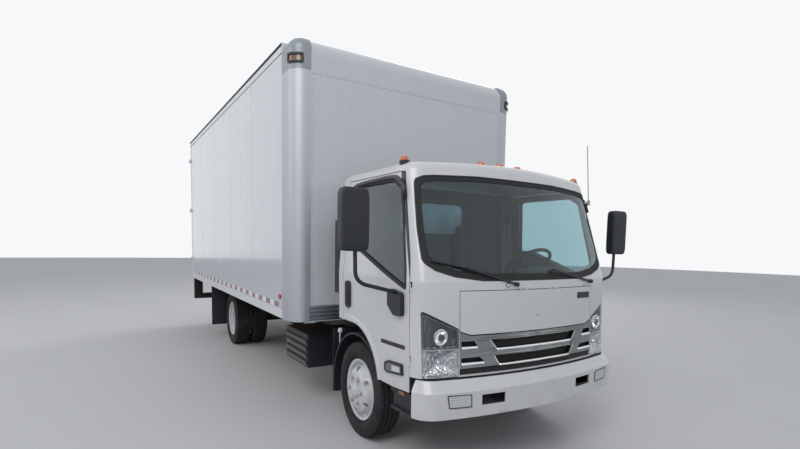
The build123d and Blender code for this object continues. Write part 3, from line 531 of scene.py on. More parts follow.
# Outlines and skins: a skin is a function of two places and a height over it
def cab_front(x, z, out):
    """Point at (x, z) on the cab's front, moved ahead of it by `out`.

    In plan the front is an arc of 3.6 m about (0, nose + 3.6), which meets an arc of 0.16 m
    at each corner; the point moves along the arc's own radius.
    """
    x, z, out = np.broadcast_arrays(np.asarray(x, float), z, out)
    kx = np.minimum(cab_line(z, 0, 1), cab_line(z, 1, 1)) - CORNER_R
    centre = np.maximum(cab_line(z, 0, 2), cab_line(z, 1, 2)) + NOSE_R
    ky = centre - np.sqrt((NOSE_R - CORNER_R) ** 2 - kx ** 2)
    wide = np.abs(x) > kx * NOSE_R / (NOSE_R - CORNER_R)
    ax = np.where(wide, np.sign(x) * kx, 0.0)
    ay = np.where(wide, ky, centre)
    r = np.where(wide, CORNER_R, NOSE_R)
    dx = np.clip(x - ax, -r, r)
    dy = -np.sqrt(r ** 2 - dx ** 2)
    return np.stack([ax + dx * (1 + out / r), ay + dy * (1 + out / r), z], -1)


def cab_side(y, z, out):
    """Point at (y, z) on the left side of the cab, moved outwards by `out`."""
    y, z, out = np.broadcast_arrays(np.asarray(y, float), z, out)
    return np.stack([np.minimum(cab_line(z, 0, 1), cab_line(z, 1, 1)) + out, y, z], -1)


def bumper_front(x, z, out):
    """Point on the bumper's lower front: an arc of 3.6 m about (0, nose + 3.6)."""
    x, z, out = np.broadcast_arrays(np.asarray(x, float), z, out)
    r = (NOSE_R + out) / NOSE_R
    return np.stack([x * r, BUMPER_NOSE + NOSE_R - np.sqrt(NOSE_R ** 2 - x ** 2) * r, z], -1)


CAP_TOP, CAP_R, CAP_ROUND = 3.484, 0.13, 0.11


def cap_skin(s, z, out):
    """Point on a corner cap, s along its plan from the front's end of the curve, z up its side.

    The plan is a line, an arc of radius 130 mm and a line; above 3.374 m the side bends inwards
    by an arc of radius 110 mm, along which z goes on counting.
    """
    s, z, out = np.broadcast_arrays(np.asarray(s, float), z, out)
    turn = np.clip(s / CAP_R, 0, math.pi / 2)
    rest = s - turn * CAP_R
    bend = np.clip((z - (CAP_TOP - CAP_ROUND)) / CAP_ROUND, 0, math.pi / 2)
    r = CAP_R - CAP_ROUND * (1 - np.cos(bend)) + out * np.cos(bend)
    x = BOX_HALF - CAP_R + r * np.sin(turn) + np.minimum(rest, 0)
    y = BOX_FRONT + CAP_R - r * np.cos(turn) + np.maximum(rest, 0)
    top = np.minimum(z, CAP_TOP - CAP_ROUND) + (CAP_ROUND + out) * np.sin(bend)
    return np.stack([x, y, top], -1)


def side_plane(at):
    """The flat skin X = at, facing the left."""
    return lambda y, z, out: np.stack([np.full(np.shape(y), at) + out, y, z], -1)


def back_plane(at, way=1):
    """The flat skin Y = at, facing the rear, or the front where way is -1."""
    return lambda x, z, out: np.stack([x, np.full(np.shape(x), at) + way * out, z], -1)


def level(x, y, out):
    """The flat skin Z = 0, facing up."""
    return np.stack([x, y, np.full(np.shape(x), out)], -1)


def loop_of(corners, radius, arc=6, side=8):
    """Closed outline: each corner is a curve from side to side, each side is divided evenly.

    A corner runs (1-t)^2 A + 2t(1-t) P + t^2 B from A to B, where P is the corner point and A
    and B lie on its sides where a circle of the radius would touch them.
    """
    p = np.asarray(corners, float)
    back = np.roll(p, 1, 0) - p
    ahead = np.roll(p, -1, 0) - p
    lb = np.linalg.norm(back, axis=1)[:, None]
    la = np.linalg.norm(ahead, axis=1)[:, None]
    cosine = np.clip((back * ahead).sum(1)[:, None] / (lb * la), -1, 1)
    cut = np.minimum(radius / np.tan(np.arccos(cosine) / 2), 0.45 * np.minimum(lb, la))
    a = (p + back / lb * cut)[:, None]
    b = (p + ahead / la * cut)[:, None]
    t = np.linspace(0, 1, arc + 1)[None, :, None]
    bend = (1 - t) ** 2 * a + 2 * t * (1 - t) * p[:, None] + t ** 2 * b
    s = np.linspace(0, 1, side + 1)[1:-1][None, :, None]
    run = b * (1 - s) + np.roll(a, -1, 0) * s
    return np.concatenate([bend, run], 1).reshape(-1, p.shape[1])


def rect(x0, x1, z0, z1, radius, arc=6, side=8):
    """Rounded rectangle as an outline."""
    return loop_of([(x0, z0), (x1, z0), (x1, z1), (x0, z1)], radius, arc, side)


def both_halves(half):
    """A whole outline from the left half's points, from the bottom middle to the top middle."""
    half = np.asarray(half, float)
    return np.concatenate([half[::-1] * (-1, 1), half])


def grown(outline, amount):
    """The outline moved outwards by an amount, each corner along the mean of its sides' normals."""
    p = np.asarray(outline, float)
    ahead = np.roll(p, -1, 0) - p
    ahead /= np.linalg.norm(ahead, axis=1)[:, None]
    normal = np.stack([ahead[:, 1], -ahead[:, 0]], -1)
    back = np.roll(normal, 1, 0)
    area = (p[:, 0] * np.roll(p[:, 1], -1) - p[:, 1] * np.roll(p[:, 0], -1)).sum()
    mean = (normal + back) / (1 + (normal * back).sum(1))[:, None]
    return p + mean * amount * np.sign(area)


# Forms
def band(outer, inner, skin, low, high):
    """A closed band between two outlines, from height low to high over a skin.

    Its section is a box: (outer, high), (inner, high), (inner, low), (outer, low).
    """
    across = [(outer + (inner - outer) * k).T for k in np.linspace(0, 1, 6)]
    ring = [skin(*o, high) for o in across] + [skin(*o, low) for o in across[::-1]]
    return surface(np.stack(ring, 1), True)


def slab(outline, skin, low, high, rings):
    """A closed plate under an outline, filled by rings that shrink to its middle."""
    middle = outline.mean(0)
    k = np.linspace(1, 0.02, rings)[:, None, None]
    flat = middle + (outline - middle) * k
    top = skin(flat[..., 0], flat[..., 1], high)
    base = skin(flat[::-1, :, 0], flat[::-1, :, 1], low)
    return surface(np.concatenate([top, base]), True)


def strip(spots, normals, section, skin):
    """A form along spots of a skin: its section lists (distance along the normal, height)."""
    return capped(np.stack([skin(*(spots + normals * k).T, height) for k, height in section], 1))


def ribbon(path, section, skin):
    """A strip along a path, whose normals stand square to the path."""
    along = np.gradient(path, axis=0)
    along /= np.linalg.norm(along, axis=1)[:, None]
    return strip(path, np.stack([-along[:, 1], along[:, 0]], -1), section, skin)


def circle(sides):
    """Angles of evenly spaced points of a circle."""
    return np.linspace(0, 2 * math.pi, sides + 1)[:-1]


def tube(path, radius, sides):
    """A round tube: circles of the radius stand square to the path and turn with it."""
    p = np.asarray(path, float)
    along = np.gradient(p, axis=0)
    along /= np.linalg.norm(along, axis=1)[:, None]
    u = np.cross(along, UP if abs(along[0][2]) < 0.9 else REAR)
    u /= np.linalg.norm(u, axis=1)[:, None]
    v = np.cross(u, along)
    a = circle(sides)[None, :, None]
    return capped(p[:, None] + radius * (np.cos(a) * u[:, None] + np.sin(a) * v[:, None]))


def along_y(x, y0, y1, z, steps):
    """Points of a level line along Y."""
    return np.stack([np.full(steps, x), np.linspace(y0, y1, steps), np.full(steps, z)], -1)


def smooth_path(points, steps=10):
    """A path through points that bends with rounded corners of a third of each side."""
    p = np.asarray(points, float)
    out = [p[:1]]
    for k in range(1, len(p) - 1):
        a = p[k] + (p[k - 1] - p[k]) * 0.33
        b = p[k] + (p[k + 1] - p[k]) * 0.33
        t = np.linspace(0, 1, steps)[:, None]
        out.append((1 - t) ** 2 * a + 2 * t * (1 - t) * p[k] + t ** 2 * b)
    return np.concatenate(out + [p[-1:]])


def domes(centres, n, radius, height, sides=8):
    """Low round heads that face n: circles that shrink from radius r to 0.3 r as they rise.

    The second ring stands at 0.45 of the height with radius r, the third at 0.8 with 0.72 r.
    """
    a = circle(sides)[None, :, None]
    u = np.cross(UP, n)
    width, lift = np.array([(1.0, 0.0), (1.0, 0.45), (0.72, 0.8), (0.3, 1.0)]).T[..., None, None]
    head = radius * width * (np.cos(a) * u + np.sin(a) * UP) + lift * height * np.array(n)
    points = np.asarray(centres, float)[:, None, None] + head
    one = quads(4, sides).tolist() + [[3 * sides + k for k in range(sides)]]
    faces = [[i + m * 4 * sides for i in face] for m in range(len(centres)) for face in one]
    return points.reshape(-1, 3), faces


def lathe(profile, centre, sides):
    """A ring turned about a line along X: each profile point is (distance along X, radius)."""
    a = circle(sides)
    x, r = np.asarray(profile, float).T[..., None]
    return surface(np.stack([x + 0 * a, r * np.sin(a), r * np.cos(a)], -1) + centre)


def about_y(profile, centre, sides=40):
    """A form turned about a line along Y, from (distance along Y, radius) points."""
    vertices, faces = lathe(profile, (0, 0, 0), sides)
    return vertices[:, [2, 0, 1]] + centre, faces


def pillow(centre, size, square, steps, lean=0.0, dent=None):
    """A crowned closed form: x = a C(v) C(u), y = b C(v) S(u), z = c S(v).

    C(t) and S(t) are cos t and sin t raised to the power `square` with their sign kept, which
    squares the form; the dent, if any, is a function of the point that draws it inwards.
    """
    v = np.linspace(-math.pi / 2, math.pi / 2, steps[0])[:, None]
    u = circle(steps[1])[None]
    cu, su, cv, sv = (
        np.sign(k) * np.abs(k) ** square for k in (np.cos(u), np.sin(u), np.cos(v), np.sin(v))
    )
    unit = np.stack(np.broadcast_arrays(cv * cu, cv * su, sv), -1)
    points = unit * (np.asarray(size, float) / 2)
    if dent:
        points = points - unit * dent(points)[..., None]
    c, s = math.cos(lean), math.sin(lean)
    x, y, z = np.moveaxis(points, -1, 0)
    return surface(np.stack([x, y * c + z * s, z * c - y * s], -1) + centre)


# Windscreen: painted flange, black border and seal
SCREEN_HALF = [
    (0.5, 1.404), (0.714, 1.432), (0.85, 1.474), (0.927, 1.53), (0.924, 1.751),
    (0.909, 1.96), (0.897, 2.095), (0.85, 2.158), (0.4, 2.172),
]
SCREEN_ROUND = SCREEN_HALF[:5] + [(0.908, 1.96), (0.891, 2.132), (0.755, 2.148), (0.4, 2.164)]
SCREEN_INNER = [
    (0.5, 1.458), (0.7, 1.484), (0.815, 1.52), (0.88, 1.575), (0.882, 1.751),
    (0.868, 1.96), (0.851, 2.086), (0.74, 2.104), (0.4, 2.12),
]
SEAL_INNER = [(x * 0.992, 1.788 + (z - 1.788) * 0.982) for x, z in SCREEN_ROUND]
screen_edge = loop_of(grown(both_halves(SCREEN_HALF), 0.007), 0.026, 6, 12)
screen_outer, screen_inner, seal_inner = (
    loop_of(both_halves(half), radius, 6, 12)
    for half, radius in ((SCREEN_ROUND, 0.068), (SCREEN_INNER, 0.056), (SEAL_INNER, 0.062))
)
flange = band(screen_edge, screen_outer, cab_front, -0.0036, 0.0008)
shown("screen_flange", flange, "cab", *CAB_WHITE, auto=40)
border = band(screen_outer, screen_inner, cab_front, -0.0039, -0.0034)
shown("screen_border", border, "cab", black_border, "black_plastic")
shown("screen_seal", band(screen_outer, seal_inner, cab_front, -0.0032, 0.0008), "cab", *BLACK)


# Tyres
def tyre_section():
    """Half section of the tyre from bead to crown as (across, radius), then its mirror image.

    The tread has four grooves, each cut 11 mm deep, and the side has three raised rings.
    """
    side = [
        (0.0757, 0.248), (0.079, 0.264), (0.089, 0.276), (0.0965, 0.283), (0.0985, 0.285),
        (0.1, 0.2875), (0.106, 0.3), (0.1105, 0.316), (0.1118, 0.318), (0.1124, 0.327),
        (0.1112, 0.329), (0.11, 0.343), (0.1068, 0.357), (0.1074, 0.359), (0.106, 0.364),
        (0.104, 0.3655), (0.1, 0.378), (0.0985, 0.386), (0.0965, 0.393), (0.092, 0.4),
        (0.086, 0.4036),
    ]
    tread = []
    for low, high in ((0.056, 0.066), (0.017, 0.027)):
        crown = 0.404 + 0.0005 * (1 - low / 0.084)
        tread += [(high + 0.0015, crown), (high, crown - 0.0015), (high - 0.001, crown - 0.011)]
        tread += [(low + 0.001, crown - 0.011), (low, crown - 0.0015), (low - 0.0015, crown)]
    half = np.array(side + tread + [(0.0, 0.4045)])
    return np.concatenate([half, (half * (-1, 1))[::-1][1:]])


def tyre(centre, lugs=64, steps=4):
    """The section turned about X, its shoulders notched 5 mm deep at every lug."""
    a = circle(lugs * steps)
    x, r = tyre_section().T[..., None] + 0 * a
    notch = (np.abs(x) > 0.068) & (r > 0.392) & (np.arange(len(a)) % steps == 0)
    r = np.where(notch, r - 0.005, r)
    return surface(np.stack([x, r * np.sin(a), r * np.cos(a)], -1) + centre, True)


DOOR, FRONT_WHEEL, REAR_WHEEL, REAR_DOOR = (
    "cab_door_{}", "front_wheel_{}", "rear_wheel_{}", "rear_door_{}"
)
tyre_look = {"material": tyre_rubber, "slot": "tyre", "auto": 35}
pair("front_tread", tyre(FRONT_HUB), FRONT_WHEEL, replaces="front_tyre_{}", **tyre_look)
twin = joined([tyre(np.add(REAR_HUB, (d, 0, 0))) for d in (DUAL_OFFSET, -DUAL_OFFSET)])
pair("rear_treads", twin, REAR_WHEEL, replaces="rear_tyres_{}", **tyre_look)

# Rivets of the front wall and its top rail
FACE_Y = BOX_FRONT + 0.003
heads = [(x, FACE_Y, 1.09 + 0.045 * k) for x in (-1.1, 1.1) for k in range(46)]
heads += [
    (x, FACE_Y, 1.12 + 0.106 * k) for x in (-0.746, -0.331, 0.076, 0.561) for k in range(20)
]
heads += [(-1.09 + 0.0623 * k, BOX_FRONT, 3.19) for k in range(36)]
heads += [
    (s * x, BOX_FRONT - 0.003, 0.94) for s in (1, -1) for x in (1.09, 0.88, 0.66, 0.44, 0.22)
]
shown("wall_rivets", domes(heads, FRONT, 0.0052, 0.0026), "chassis", rivet_metal, "wall_white")

# Tape along the lower rail: pieces 50 mm high and half a foot long, end to end
TAPE_LONG = 6 * INCH
WALL_SKIN = side_plane(BOX_HALF - 0.003)
tape = []
for y in 1.085 + TAPE_LONG * np.arange(36):
    corners = [(y, 1.003), (y + TAPE_LONG, 1.003), (y + TAPE_LONG, 1.053), (y, 1.053)]
    tape.append(slab(np.array(corners), WALL_SKIN, 0.0, 0.0006, 2))
pair("tape_red", joined(tape[::2]), "chassis", tape_red, "red_lens", smooth=False)
pair("tape_white", joined(tape[1::2]), "chassis", tape_white, "box_white", smooth=False)


# Seats
def ribbed(pitch, depth):
    """Sewn channels: the form sinks by depth at every pitch along X."""
    def dent(points):
        near = np.abs((points[..., 0] / pitch + 0.5) % 1.0 - 0.5) * pitch
        return depth * np.exp(-((near / 0.006) ** 2))
    return dent


SEATS = [
    # who, inner and outer edge, height of the back
    ("driver", 0.21, 0.71, 0.56),
    ("middle", -0.41, 0.12, 0.44),
    ("window", -0.9, -0.43, 0.44),
]
for who, x0, x1, tall in SEATS:
    middle, wide = (x0 + x1) / 2, x1 - x0
    cushion = pillow(
        (middle, -0.115, 1.262), (wide, 0.52, 0.125), 0.22, (44, 96), dent=ribbed(0.085, 0.006)
    )
    made = shown(f"seat_cushion_{who}", cushion, "cab", *CLOTH, replaces=["seats"])
    back = pillow(
        (middle, 0.19, 1.3 + tall / 2), (wide - 0.02, 0.105, tall), 0.24, (60, 80), 0.13,
        ribbed(0.085, 0.005),
    )
    shown(f"seat_back_{who}", back, "cab", *CLOTH)
    if who == "driver":
        rest = pillow((middle, 0.262, 1.9), (0.26, 0.06, 0.115), 0.4, (24, 48), 0.13)
        shown(f"seat_rest_{who}", rest, "cab", *CLOTH)
    foot = slab(rect(x0 + 0.04, x1 - 0.04, -0.33, 0.13, 0.03), level, 1.031, 1.205, 3)
    shown(f"seat_box_{who}", foot, "cab", *DASH, auto=35)

# Door windows
WINDOW = [
    (-0.866, 1.352), (-0.526, 1.458), (-0.121, 1.596), (0.075, 1.604),
    (0.062, 2.112), (-0.59, 2.11), (-0.716, 2.04), (-0.852, 1.476),
]
seal = band(
    loop_of(grown(WINDOW, 0.016), 0.036), loop_of(grown(WINDOW, -0.006), 0.016),
    cab_side, -0.014, 0.0022,
)
pair("window_seal", seal, DOOR, *SEAL)

# Headlamp insides
PROJECTOR = (0.812, -1.03, 1.022)
LAMP_TOP = [(0.691, 0.9445), (0.943, 0.9445), (0.9465, 1.1885), (0.691, 1.069)]
LAMP_LOW = [(0.691, 0.748), (0.9385, 0.748), (0.943, 0.9425), (0.691, 0.9425)]


def tray(outline, rim, high, floor, low, hollow):
    """A closed dish under the cab's front skin.

    Its rim is flat at height `high`; inside it the floor lies at height
    floor + (high - floor) * hollow * k^2, where k runs from 0 in the middle to 1 at the rim.
    """
    outer = loop_of(outline, 0.012, 5, 12)
    inner = loop_of(grown(outline, -rim), 0.012, 5, 12)
    middle = inner.mean(0)
    rows = [(outer, high), (inner, high)]
    for k in (1.0, 0.9, 0.78, 0.64, 0.48, 0.3, 0.12, 0.01):
        rows.append((middle + (inner - middle) * k, floor + (high - floor) * hollow * k * k))
    rows += [(middle + (outer - middle) * 0.01, low), (outer, low)]
    return surface(np.stack([cab_front(*at.T, height) for at, height in rows]), True)


dishes = joined([
    tray(LAMP_TOP, 0.009, -0.0085, -0.072, -0.08, 0.0),
    tray(LAMP_LOW, 0.009, -0.0085, -0.07, -0.08, 0.92),
])
lamp_look = {"body": "cab", "material": lamp_finish, "slot": "lamp_inside", "auto": 45}
shown("lamp_dish_left", dishes, replaces=["headlamp_bodies"], **lamp_look)
shown("lamp_dish_right", flipped(dishes), **lamp_look)
barrel = [(0.034, TIP), (0.034, 0.04), (0.0045, 0.04), (0.0045, TIP)]
pair("projector_barrel", about_y(barrel, PROJECTOR), "cab", smoked, "lamp_inside", auto=40)
for name, centre, look, profile in (
    ("projector_lens", PROJECTOR, (clear_lens, "clear_lens"), [
        (-0.015, TIP), (-0.014, 0.014), (-0.01, 0.027), (-0.003, 0.037), (0.0, 0.04),
        (0.0, TIP),
    ]),
    ("projector_ring", PROJECTOR, CHROME, [
        (0.002, 0.0405), (-0.006, 0.042), (-0.01, 0.047), (-0.012, 0.057), (-0.009, 0.06),
        (0.004, 0.061), (0.004, 0.044), (0.002, 0.044),
    ]),
    ("lamp_bulb", (0.812, -1.001, 0.85), CHROME, [
        (-0.062, TIP), (-0.061, 0.007), (-0.055, 0.011), (-0.03, 0.012), (-0.026, 0.019),
        (0.0, 0.021), (0.0, TIP),
    ]),
):
    pair(name, about_y(profile, centre), "cab", *look)
studs = [cab_front(0.722 + 0.046 * k, 0.9535, -0.02) for k in range(5)]
pair("lamp_studs", domes(studs, FRONT, 0.0075, 0.005, 12), "cab", *CHROME)
divider = slab(rect(0.697, 0.932, 0.9415, 0.9365, 0.001, 2, 10), cab_front, -0.02, -0.0086, 2)
pair("lamp_divider", divider, "cab", *CHROME, smooth=False)
edge = slab(rect(0.687, 0.956, 0.72, 0.744, 0.002, 2, 10), cab_front, LIFT, 0.003, 3)
pair("lower_edge_trim", edge, "cab", *BLACK, smooth=False)

# Lid and grille, drawn in the curve of the nose
LID = both_halves([(0.68, 1.337), (0.68, 1.06), (0.6, 1.0335)][::-1])
lid = slab(loop_of(LID, 0.006, 3, 28), cab_front, -0.018, 0.0, 12)
shown("lid_panel", lid, "front_lid", *CAB_WHITE, auto=40, replaces=["front_lid"])
EDGE = 0.6845
GRILLE = [
    # height, then (x, z) of the lower edge's ends and of the upper edge's ends
    (0.0, -EDGE, EDGE, 0.8, -EDGE, EDGE, 0.816),
    (0.0, 0.366, 0.4575, 0.816, 0.404, 0.53, 0.874),
    (0.0, 0.4575, EDGE, 0.816, 0.49, EDGE, 0.842),
    (0.0, 0.672, EDGE, 0.842, 0.672, EDGE, 0.874),
    (0.0, -EDGE, EDGE, 0.874, -EDGE, EDGE, 0.88),
    (-0.009, -0.41, 0.41, 0.88, -0.41, 0.41, 0.908),
    (0.0, 0.41, EDGE, 0.88, 0.41, EDGE, 0.908),
    (0.0, -EDGE, EDGE, 0.908, -EDGE, EDGE, 0.928),
    (0.0, 0.388, 0.5256, 0.928, 0.437, 0.575, 0.988),
    (0.0, 0.5256, EDGE, 0.928, 0.547, EDGE, 0.954),
    (0.0, 0.672, EDGE, 0.954, 0.672, EDGE, 0.988),
    (-0.004, -EDGE, EDGE, 0.988, -EDGE, EDGE, 1.005),
    (0.0, -EDGE, EDGE, 1.005, -EDGE, EDGE, 1.027),
    (-0.014, -EDGE, EDGE, 0.746, -EDGE, EDGE, 0.8),
]
corner = loop_of([(0.606, 1.027), (EDGE, 1.027), (EDGE, 1.054)], 0.0004, 2, 10)
plates = [slab(corner, cab_front, -0.034, 0.0, 3)]
plates.append(flipped(plates[0]))
for height, x0, x1, z0, x2, x3, z1 in GRILLE:
    outline = loop_of([(x0, z0), (x1, z0), (x3, z1), (x2, z1)], 0.0004, 2, 30 if x0 < 0 else 10)
    plates.append(slab(outline, cab_front, -0.034, height, 3))
    if x0 > 0:
        plates.append(flipped(plates[-1]))
shown(
    "grille_plates", joined(plates), "cab", grille_finish, "chrome", smooth=False,
    replaces=["grille"],
)
backing = slab(rect(-0.672, 0.672, 0.806, 1.02, 0.01, 3, 30), cab_front, -0.044, -0.0345, 8)
shown("grille_backing", backing, "cab", mesh_black, "black_plastic")
bars = []
for x0, x1, z, wide in (
    (-0.388, 0.388, 0.918, 0.016), (-0.366, 0.366, 0.806, 0.013),
    (0.55, 0.67, 0.941, 0.018), (0.495, 0.67, 0.829, 0.018),
):
    half = wide / 2
    section = [(half, LIFT), (half, 0.0065), (-half, 0.0065), (-half, LIFT)]
    spots = np.stack([np.linspace(x0, x1, 24), np.full(24, z)], -1)
    bars.append(strip(spots, np.array([0, 1]), section, cab_front))
    if x0 > 0:
        bars.append(flipped(bars[-1]))
shown("grille_bright_bars", joined(bars), "cab", bright, "chrome")
diagonals = []
for x0, z0, x1, z1 in ((0.441, 0.99, 0.385, 0.924), (0.408, 0.876, 0.364, 0.812)):
    outline = loop_of([(x0, z0), (x0 + 0.013, z0), (x1 + 0.013, z1), (x1, z1)], 0.001, 2, 6)
    diagonals.append(slab(outline, cab_front, LIFT, 0.0065, 2))
diagonals += [flipped(diagonal) for diagonal in diagonals]
shown("grille_diagonals", joined(diagonals), "cab", bright, "chrome", smooth=False)
badge = loop_of([(0.478, 1.247), (0.655, 1.245), (0.655, 1.293), (0.478, 1.295)], 0.008, 5, 6)
shown("lid_badge", slab(badge, cab_front, LIFT, 0.003, 4), "front_lid", *BLACK, auto=40)

# Washer nozzles with their rings, and the wipers' caps
NOZZLES = [(-0.29, 1.372), (0.575, 1.366)]
for name, spots, out, sides, look, profile in (
    ("washer_nozzles", NOZZLES, 0.0, 24, CAB_WHITE, [
        (0.004, TIP), (0.004, 0.0145), (-0.005, 0.014), (-0.01, 0.009), (-0.011, TIP),
    ]),
    ("washer_rings", NOZZLES, 0.0, 24, BLACK, [
        (0.004, 0.0146), (-0.0015, 0.015), (-0.0015, 0.018), (0.004, 0.0185),
    ]),
    ("wiper_caps", [(-0.222, 1.38), (0.655, 1.38)], 0.026, 20, BLACK, [
        (0.002, TIP), (0.002, 0.0165), (-0.003, 0.0155), (-0.007, 0.009), (-0.0075, TIP),
    ]),
):
    turned = [about_y(profile, cab_front(x, z, out), sides) for x, z in spots]
    shown(name, joined(turned), "cab", *look)

# Bumper lamps
FOG = [(0.641, 0.551), (0.81, 0.555), (0.825, 0.649), (0.643, 0.643)]


def fog(inset, radius):
    """The lamp's outline, drawn in by an inset."""
    return loop_of(grown(FOG, -inset), radius, 4, 8)


lamp_back = slab(fog(0.0, 0.009), bumper_front, TIP, 0.0016, 4)
pair("bumper_lamp_back", lamp_back, "chassis", *PALE)
lamp = slab(fog(0.007, 0.008), bumper_front, 0.0018, 0.0048, 4)
pair("bumper_lamp", lamp, "chassis", pale_lens, "clear_lens", auto=40)
lamp_rim = band(fog(0.0008, 0.009), fog(0.0075, 0.007), bumper_front, 0.0017, 0.0058)
pair("bumper_lamp_rim", lamp_rim, "chassis", smoked, "black_plastic", auto=40)
ribs = []
for z in 0.566 + 0.017 * np.arange(5):
    rib = [(0.655, z), (0.805, z + 0.002), (0.805, z + 0.0055), (0.655, z + 0.0035)]
    ribs.append(slab(loop_of(rib, 0.0005, 2, 4), bumper_front, 0.0048, 0.0062, 2))
pair("bumper_lamp_ribs", joined(ribs), "chassis", *PALE, smooth=False)

# Arch flares: a raised lip 50 mm wide, whose section steps out 11 mm and rounds off
ARCH_Z = 0.508
ARCH_R = 0.483
FLARE = [
    (0.0005, 0.978), (0.0005, 0.996), (0.004, 0.997), (0.04, 0.997), (0.049, 0.9925),
    (0.05, 0.978),
]


def level_lip(y0, y1, steps):
    """(y, z) and normals along the level line over the arch."""
    y = np.linspace(y0, y1, steps)
    return np.stack([y, np.full(steps, ARCH_Z + ARCH_R)], -1), np.tile((0.0, 1.0), (steps, 1))


arch = np.linspace(math.pi - math.asin((0.616 - ARCH_Z) / ARCH_R), math.pi / 2, 48)
round_normals = np.stack([np.cos(arch), np.sin(arch)], -1)
spots, normals = level_lip(0.002, 0.187, 12)
spots = np.concatenate([round_normals * ARCH_R + (0, ARCH_Z), spots])
door_flare = strip(spots, np.concatenate([round_normals, normals]), FLARE, side_plane(0.0))
pair("door_flare", door_flare, DOOR, *CAB_WHITE, auto=35)
shell_flare = strip(*level_lip(0.196, 0.268, 6), FLARE, side_plane(0.0))
pair("shell_flare", shell_flare, "cab", *CAB_WHITE, auto=35)

# Doors: visor, mirror, handle, turn lamp, stripe, inner grip
visor_path = smooth_path([
    (0.09, 2.025), (0.08, 2.128), (-0.61, 2.142), (-0.742, 2.075), (-0.772, 1.975),
])
visor_section = [(0.018, 0.0012), (0.015, 0.012), (0.0, 0.019), (-0.015, 0.012), (-0.018, 0.0012)]
visor = ribbon(visor_path, visor_section, cab_side)
pair("door_visor", visor, DOOR, visor_black, "black_plastic")
case = pillow((1.36, -0.805, 1.805), (0.196, 0.0896, 0.41), 0.24, (44, 64))
arm = smooth_path([
    (1.345, -0.8, 1.625), (1.34, -0.8, 1.395), (1.08, -0.792, 1.33), (1.012, -0.79, 1.312),
], 12)
foot = loop_of([
    (-0.7, 1.334), (-0.852, 1.316), (-0.854, 1.152), (-0.748, 1.152), (-0.662, 1.215),
    (-0.662, 1.322),
], 0.03, 7, 5)
mirror = joined([case, tube(arm, 0.0135, 16), slab(foot, cab_side, LIFT, 0.034, 4)])
pair("mirror_set", mirror, DOOR, *BLACK, auto=38, replaces="mirror_{}")
silver = slab(rect(1.294, 1.426, 1.634, 1.976, 0.02, 5, 6), back_plane(-0.763), LIFT, 0.0022, 3)
pair("mirror_glass", silver, DOOR, mirror_silver, "chrome", auto=40)
turn_case = [
    (-0.579, 0.778), (-0.636, 0.802), (-0.839, 0.814), (-0.847, 0.734), (-0.608, 0.708),
    (-0.579, 0.722),
]
turn_lens = [
    (-0.612, 0.768), (-0.648, 0.788), (-0.826, 0.799), (-0.832, 0.746), (-0.626, 0.723),
    (-0.612, 0.733),
]
turn_core = [(-0.7, 0.78), (-0.816, 0.788), (-0.82, 0.752), (-0.705, 0.74)]
stripe = [(-0.514, 0.9425), (-0.861, 0.949), (-0.862, 0.9215), (-0.514, 0.9135)]
for name, outline, low, high, rings, look, auto in (
    ("door_handle", rect(0.032, 0.128, 1.106, 1.334, 0.047, 8, 5), LIFT, 0.0165, 4, BLACK, 38),
    ("turn_case", loop_of(turn_case, 0.008, 4, 6), LIFT, 0.0132, 4, BLACK, 38),
    ("turn_lens", loop_of(turn_lens, 0.008, 4, 6), 0.0135, 0.0165, 4, TURN, 40),
    ("turn_core", loop_of(turn_core, 0.006, 4, 5), 0.0168, 0.018, 3, PALE, 40),
    ("door_badge", loop_of(stripe, 0.002, 3, 6), LIFT, 0.004, 3, GLOSS, 40),
):
    pair(name, slab(outline, cab_side, low, high, rings), DOOR, *look, auto=auto)
grip = pillow((1.0125, 0.08, 1.226), (0.012, 0.046, 0.18), 0.55, (20, 36))
pair("door_grip", grip, DOOR, *SEAL)
reflector = rect(-0.8, -0.72, 0.568, 0.594, 0.004, 3, 3)
step = slab(reflector, side_plane(0.948), LIFT, 0.0035, 3)
pair("step_reflector", step, "cab", orange, "amber_lens", auto=40)


# Wheels: nuts, hub caps, valves, rims' lips, and the liners over the front ones
def hex_nuts(x0, x1, centre):
    """Six-sided nuts with a washer and a domed end, six on the wheel's bolt circle."""
    pitch, washer, r = 0.111125, 0.0215, 0.0178
    rows = np.array([
        (x0, 1e-4), (x0, washer), (x0 + 0.003, washer), (x0 + 0.003, r), (x1 - 0.005, r),
        (x1, r * 0.72), (x1 + 0.0015, 1e-4),
    ])
    places = [(0, pitch * math.cos(turn), pitch * math.sin(turn)) for turn in circle(6)]
    return joined([lathe(rows, np.add(centre, place), 6) for place in places])


nuts = {"material": nut_metal, "slot": "bare_steel", "smooth": False}
pair("front_nuts", hex_nuts(0.1275, 0.1515, FRONT_HUB), FRONT_WHEEL, **nuts)
pair("rear_nuts", hex_nuts(0.0125, 0.0365, REAR_HUB), REAR_WHEEL, **nuts)
